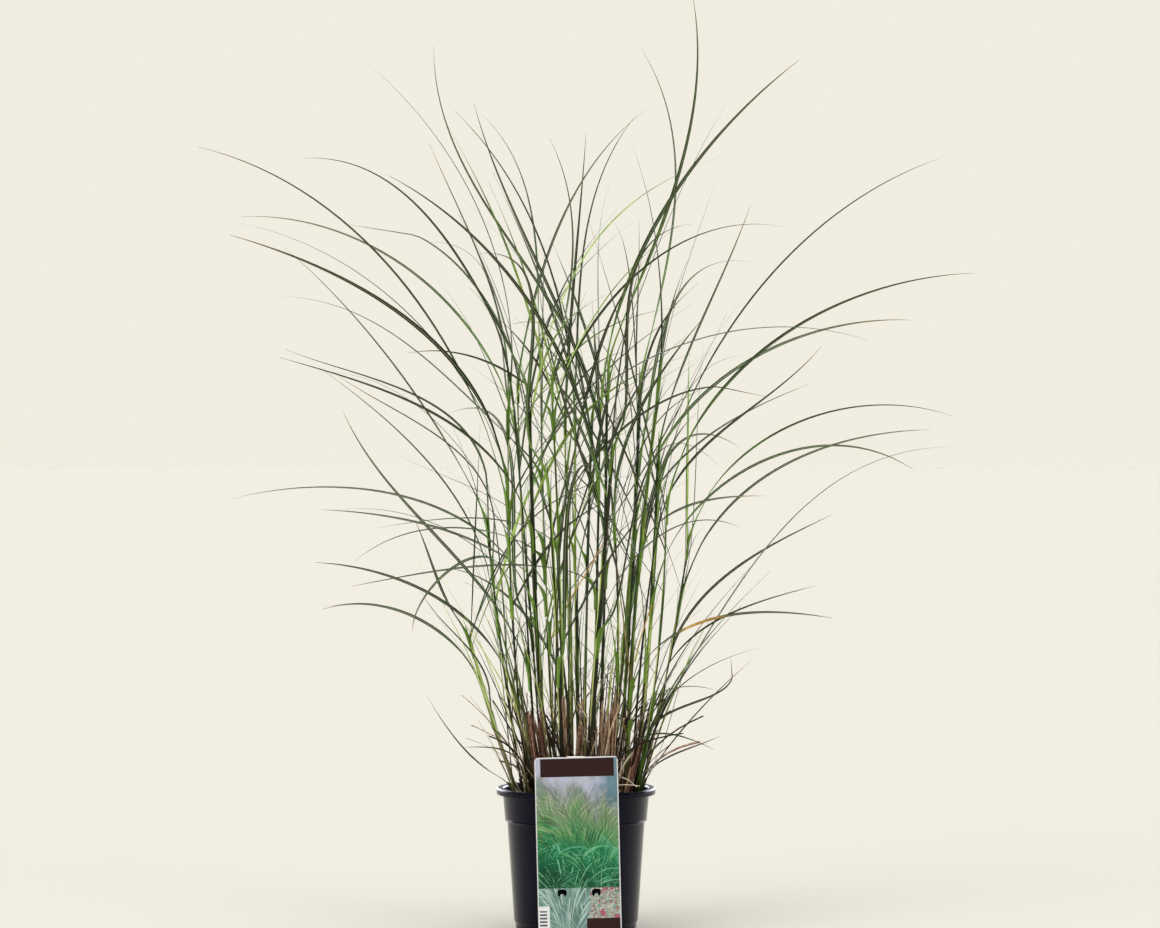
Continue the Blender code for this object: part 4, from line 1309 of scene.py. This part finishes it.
def inner_wall():
    """The pot's inside as (radius, height), from the floor's edge up to the rim."""
    return [
        (BASE_RADIUS - 0.6, FLOOR_THICKNESS),
        (BASE_RADIUS + 0.1, FLOOR_THICKNESS + 1.0),
        (FOOT_RADIUS - WALL, FOOT_HEIGHT - 0.4),
        (BODY_BOTTOM_RADIUS - WALL, FOOT_HEIGHT + 1.2),
        (BODY_TOP_RADIUS - WALL, STEP_HEIGHT - 1.4),
        (COLLAR_BOTTOM_RADIUS - WALL - 0.1, STEP_HEIGHT + 0.8),
        (COLLAR_TOP_RADIUS - WALL - 0.1, RIM_TOP - 1.4),
        (COLLAR_TOP_RADIUS - 0.9, RIM_TOP),
    ]


def nursery_pot():
    """A turned wall with a rolled rim, a collar over a step, and a foot that is cut by its drain slots."""
    roof = RIM_TOP - WALL - 0.5
    outside = [
        (0, 0),
        (BASE_RADIUS, 0),
        (FOOT_RADIUS - 0.9, 1.2),
        (FOOT_RADIUS, FOOT_HEIGHT - 0.6),
        (BODY_BOTTOM_RADIUS, FOOT_HEIGHT),
        (BODY_TOP_RADIUS, STEP_HEIGHT - 0.8),
        (COLLAR_BOTTOM_RADIUS - 0.2, STEP_HEIGHT),
        (COLLAR_BOTTOM_RADIUS + 0.5, STEP_HEIGHT + 0.7),
        (COLLAR_BOTTOM_RADIUS + 0.1, STEP_HEIGHT + 2.2),
        (COLLAR_TOP_RADIUS, roof),
        (RIM_RADIUS - WALL, roof),
        (RIM_RADIUS - WALL, RIM_BOTTOM),
        (RIM_RADIUS, RIM_BOTTOM),
        (RIM_RADIUS, RIM_TOP - 1.2),
        (RIM_RADIUS - 1.0, RIM_TOP),
    ]
    profile = filleted(outside + inner_wall()[::-1] + [(0, FLOOR_THICKNESS)], 0.9)
    pot = turned("nursery_pot", profile, PLASTIC)
    holes = []
    for hole in range(DRAIN_HOLES):
        turn = 2 * math.pi * (hole + 0.5) / DRAIN_HOLES
        half = DRAIN_WIDTH / 2
        low = (DRAIN_INNER_RADIUS, -half, -1)
        high = (FOOT_RADIUS + 4, half, DRAIN_HEIGHT)
        holes.append(block(f"drain_{hole}", turn, low, high))
    return keep(shade(cut(pot, holes), 28), "pot_plastic", "pot")


nursery_pot()


def potting_mix():
    """The mix fills the pot. Its top is uneven, and rises round the stems."""
    wall = [(radius - 0.4, height + 0.4) for radius, height in inner_wall()[:-1]]
    edge = wall[-1][0] - 0.7
    rings = []
    for step in range(23):
        rings.append((edge * (1 - step / 22), mix(MIX_EDGE_LEVEL, MIX_LEVEL, smooth(step / 14))))
    mixture = turned("potting_mix_heap", [(0, wall[0][1])] + wall[:-1] + rings, PEAT, 120)
    for vertex in mixture.data.vertices:
        place = vertex.co / MM
        reach = math.hypot(place.x, place.y)
        if place.z > 140:
            inner = smooth((edge - reach) / 6)
            bump = noise.noise(place / 14) * 1.6 + noise.noise(place / 4) * 0.9
            vertex.co.z += inner * bump * MM
    return keep(shade(mixture, 60), "potting_mix", "potting_mix")


def crumb_tree():
    """Scatters small rough crumbs over a surface, each turned and stretched its own way."""
    tree, given = geometry_tree(
        "scattered_crumbs",
        [
            ("Density", "NodeSocketFloat"),
            ("Crumb Radius", "NodeSocketFloat"),
            ("Seed", "NodeSocketInt"),
            ("Material", "NodeSocketMaterial"),
        ],
    )
    spots = add(
        tree,
        "GeometryNodeDistributePointsOnFaces",
        {
            "Mesh": given.outputs["Geometry"],
            "Density": given.outputs["Density"],
            "Seed": given.outputs["Seed"],
        },
    )
    crumb = add(
        tree, "GeometryNodeMeshIcoSphere", {"Radius": given.outputs["Crumb Radius"], "Subdivisions": 2}
    )
    turn = add(
        tree,
        "FunctionNodeRandomValue",
        {0: (0.0, 0.0, 0.0), 1: (6.28, 6.28, 6.28), "Seed": 3},
        data_type="FLOAT_VECTOR",
    )
    size = add(
        tree,
        "FunctionNodeRandomValue",
        {0: (0.5, 0.4, 0.3), 1: (1.9, 1.2, 0.9), "Seed": 4},
        data_type="FLOAT_VECTOR",
    )
    scattered = add(
        tree,
        "GeometryNodeInstanceOnPoints",
        {
            "Points": spots.outputs["Points"],
            "Instance": crumb.outputs["Mesh"],
            "Rotation": turn,
            "Scale": size,
        },
    )
    real = add(tree, "GeometryNodeRealizeInstances", {"Geometry": scattered})
    done = add(tree, "GeometryNodeSetMaterial", {"Geometry": real, "Material": given.outputs["Material"]})
    add(tree, "NodeGroupOutput", {"Geometry": done})
    return tree


def crumbs_on(mixture):
    """Crumbs lie on the top of the mix only, clear of the wall."""
    shape = bmesh.new()
    shape.from_mesh(mixture.data)
    buried = [
        face
        for face in shape.faces
        if face.calc_center_median().z < 143 * MM or face.calc_center_median().xy.length > 73 * MM
    ]
    bmesh.ops.delete(shape, geom=buried, context="FACES")
    # 38 crumbs lie on each 10 cm2.
    values = {"Density": 38000.0, "Crumb Radius": 1.3 * MM, "Seed": 5, "Material": PEAT}
    return keep(grown(made_of(shape, "mix_crumbs"), crumb_tree(), values), "potting_mix")


crumbs_on(potting_mix())


# Label --------------------------------------------------------------------------------------------

LABEL_WIDTH = 87.0
LABEL_TOP = 194.7
LABEL_BOTTOM = 4.0
LABEL_THICKNESS = 0.6
LABEL_CORNER_RADIUS = 4.0
LABEL_TILT = math.radians(1.41)
LABEL_BACK_Y = -85.4
SLOT_WIDTH = 9.4
SLOT_HEIGHT = 8.4
SLOT_CENTRE_HEIGHT = 52.5
SLOT_OFFSETS = (-17.8, 17.8)
STRIP_WIDTH = 18.0
STRIP_FOLD_Y = -79.2
STRIP_END_Y = -73.3
STRIP_END_HEIGHT = 128.0


def arch_slot():
    """A die-cut slot's outline as (x, z): round shoulders above, and a tongue left standing in its foot."""
    half, high = SLOT_WIDTH / 2, SLOT_HEIGHT / 2
    return [
        (-half, high - 2.2),
        (-half + 0.2, -high + 2.4),
        (-half + 2.1, -high),
        (-half + 2.7, -high + 1.9),
        (-1.2, -high + 3.4),
        (1.2, -high + 3.4),
        (half - 2.7, -high + 1.9),
        (half - 2.1, -high),
        (half - 0.2, -high + 2.4),
        (half, high - 2.2),
        (half - 1.2, high - 0.5),
        (half - 2.4, high),
        (-half + 2.4, high),
        (-half + 1.2, high - 0.5),
    ]


def slab(name, outline, back, front):
    """A flat piece from an outline of (x, z), from back to front along Y."""
    shape = bmesh.new()
    layers = [[shape.verts.new(Vector((x, y, z)) * MM) for x, z in outline] for y in (back, front)]
    count = len(outline)
    shape.faces.new(layers[0])
    shape.faces.new(layers[1][::-1])
    for side in range(count):
        after = (side + 1) % count
        shape.faces.new([layers[0][side], layers[1][side], layers[1][after], layers[0][after]])
    bmesh.ops.recalc_face_normals(shape, faces=shape.faces)
    return made_of(shape, name)


def label_outline():
    """The card's edge as (x, z) about its own middle, with round corners."""
    half = LABEL_WIDTH / 2
    high = (LABEL_TOP - LABEL_BOTTOM) / 2
    radius = LABEL_CORNER_RADIUS
    outline = []
    for right, top, first in ((1, 1, 0), (-1, 1, 90), (-1, -1, 180), (1, -1, 270)):
        for step in range(7):
            angle = math.radians(first + 90 * step / 6)
            x = right * (half - radius) + radius * math.cos(angle)
            z = top * (high - radius) + radius * math.sin(angle)
            outline.append((x, z))
    return outline


def strip_y(height):
    """Where the strip inside the rim lies at a height."""
    share = (LABEL_TOP - height) / (LABEL_TOP - STRIP_END_HEIGHT)
    return mix(STRIP_FOLD_Y, STRIP_END_Y, share)


def hang_label():
    """The card hangs a little askew, turned about the middle of its top edge."""
    middle = (LABEL_TOP + LABEL_BOTTOM) / 2
    drop = LABEL_TOP - middle
    place = Matrix.Translation(Vector((drop * math.tan(LABEL_TILT), 0, middle)) * MM)
    lay = place @ Matrix.Rotation(-LABEL_TILT, 4, "Y")
    front = LABEL_BACK_Y - LABEL_THICKNESS
    card = slab("plant_label_card", label_outline(), LABEL_BACK_Y, front)
    cutters = []
    for offset in SLOT_OFFSETS:
        outline = [(x + offset, z + SLOT_CENTRE_HEIGHT - middle) for x, z in arch_slot()]
        cutters.append(slab(f"slot_{offset}", outline, LABEL_BACK_Y + 3, front - 3))
    cut(card, cutters)
    card.data.materials.append(CARD)
    card.data.materials.append(CARD_BACK)
    chart = card.data.uv_layers.new(name="card")
    for polygon in card.data.polygons:
        polygon.material_index = 0 if polygon.normal.y < -0.5 else 1
        for loop in polygon.loop_indices:
            point = card.data.vertices[card.data.loops[loop].vertex_index].co / MM
            across = point.x / LABEL_WIDTH + 0.5
            up = (point.z + drop) / (2 * drop)
            chart.data[loop].uv = (across, up)
    card.data.transform(lay)
    return keep(card, "label_plastic", "plant_label")


def label_hook():
    """The strip that grows from the card's top edge, and folds back over the rim and down inside it."""
    thick = LABEL_THICKNESS
    fold = LABEL_TOP - 3
    centre = [
        (LABEL_BACK_Y + 0.35, fold - 14),
        (LABEL_BACK_Y + 0.35, fold - 3),
        (LABEL_BACK_Y + 0.6, fold - 0.6),
        (LABEL_BACK_Y + 1.4, fold + 1.6),
        (LABEL_BACK_Y + 2.6, fold + 2.9),
        (STRIP_FOLD_Y - 2.0, fold + 2.9),
        (STRIP_FOLD_Y - 0.7, fold + 1.6),
        (strip_y(fold) - 0.1, fold - 0.6),
        (STRIP_END_Y, STRIP_END_HEIGHT),
    ]
    centre = [Vector(point) for point in centre]
    shape = bmesh.new()
    half = STRIP_WIDTH / 2
    rings = []
    for step, (y, z) in enumerate(centre):
        along = direction(centre, step)
        side = Vector((along.y, -along.x)) * thick / 2
        ring = []
        for x, sign in ((-half, 1), (half, 1), (half, -1), (-half, -1)):
            ring.append(shape.verts.new(Vector((x, y + side.x * sign, z + side.y * sign)) * MM))
        rings.append(ring)
    for low, high in zip(rings, rings[1:]):
        for corner in range(4):
            after = (corner + 1) % 4
            shape.faces.new([low[corner], low[after], high[after], high[corner]])
    shape.faces.new(rings[0][::-1])
    shape.faces.new(rings[-1])
    bmesh.ops.recalc_face_normals(shape, faces=shape.faces)
    hook = made_of(shape, "plant_label_hook")
    hook.data.materials.append(CARD_BACK)
    return keep(shade(hook, 40), "label_plastic")


hang_label()
label_hook()


# Studio -------------------------------------------------------------------------------------------

BACKGROUND = "#f1ede0"
ROOM_FRONT = 0.05
ROOM_BACK = 0.5
SOFTBOXES = [
    # direction, cosine of its outer and inner half angle, radiance
    ((-0.5, 0.86, 0.1), 0.88, 0.95, 6.0),
    ((0.5, 0.86, 0.1), 0.88, 0.95, 6.0),
    ((0.0, -0.1, 1.0), 0.82, 0.94, 5.4),
]
SUNS = [
    # tilt from straight down, heading it comes from, strength, angular size, in degrees except strength
    (56, 226, 1.6, 38),
    (60, 320, 0.5, 26),
]


def studio():
    """A pale sweep under broad soft lights: brighter behind the plant than behind the camera."""
    world = bpy.data.worlds.new("studio")
    bpy.context.scene.world = world
    world.use_nodes = True
    tree = world.node_tree
    tree.nodes.clear()
    where = add(tree, "ShaderNodeTexCoord").outputs["Generated"]
    place = add(tree, "ShaderNodeSeparateXYZ", {0: where})
    depth = add(
        tree, "ShaderNodeMapRange", {0: place.outputs["Y"], 1: -0.9, 2: 0.8, 3: ROOM_FRONT, 4: ROOM_BACK}
    )
    glow = depth.outputs[0]
    for way, outer, inner, strength in SOFTBOXES:
        facing = add(
            tree, "ShaderNodeVectorMath", {0: where, 1: Vector(way).normalized()}, operation="DOT_PRODUCT"
        )
        lobe = add(
            tree,
            "ShaderNodeMapRange",
            {0: facing.outputs["Value"], 1: outer, 2: inner, 3: 0.0, 4: strength},
            interpolation_type="SMOOTHSTEP",
        )
        glow = add(tree, "ShaderNodeMath", {0: glow, 1: lobe}, operation="ADD").outputs[0]
    light = add(tree, "ShaderNodeBackground", {"Color": (0.95, 0.97, 1.0, 1.0), "Strength": glow})
    seen = add(tree, "ShaderNodeBackground", {"Color": linear(BACKGROUND), "Strength": 1.0})
    ray = add(tree, "ShaderNodeLightPath")
    both = add(tree, "ShaderNodeMixShader", {0: ray.outputs["Is Camera Ray"], 1: light, 2: seen})
    add(tree, "ShaderNodeOutputWorld", {"Surface": both})
    for number, (tilt, heading, strength, size) in enumerate(SUNS):
        lamp = bpy.data.lights.new(f"softbox_{number}", "SUN")
        lamp.energy = strength
        lamp.angle = math.radians(size)
        placed(lamp.name, lamp).rotation_euler = (math.radians(tilt), 0, math.radians(heading + 90))


def floor():
    """A wide matt sheet of card, so large that its far edge lies on the horizon."""
    material, tree, shader = finish("matt_card_floor", Specular_IOR_Level=0.0, Roughness=1.0)
    where = add(tree, "ShaderNodeTexCoord").outputs["Object"]
    haze = add(tree, "ShaderNodeTexNoise", {"Vector": where, "Scale": 0.7, "Detail": 1.0})
    paper = add(
        tree, "ShaderNodeMix", {0: haze, 6: linear("#aeaa9f"), 7: linear("#b1aca2")}, data_type="RGBA"
    )
    tree.links.new(paper.outputs[2], shader.inputs["Base Color"])
    mesh = bpy.data.meshes.new("studio_floor")
    reach = 400.0  # metres
    corners = [(-reach, -reach, 0), (reach, -reach, 0), (reach, reach, 0), (-reach, reach, 0)]
    mesh.from_pydata(corners, [], [(0, 1, 2, 3)])
    mesh.materials.append(material)
    placed("studio_floor", mesh)


def camera():
    """Level with the middle of the clump, straight in front of it, 3.6 m back."""
    lens = bpy.data.cameras.new("view")
    lens.sensor_width = 36.0
    lens.lens = 104.4
    lens.clip_end = 1000.0
    view = placed("view", lens)
    view.location = (0.0043, -3.6, 0.5007)
    view.rotation_euler = (math.pi / 2, 0, 0)
    bpy.context.scene.camera = view


studio()
floor()
camera()
bpy.context.scene.view_settings.view_transform = "Standard"
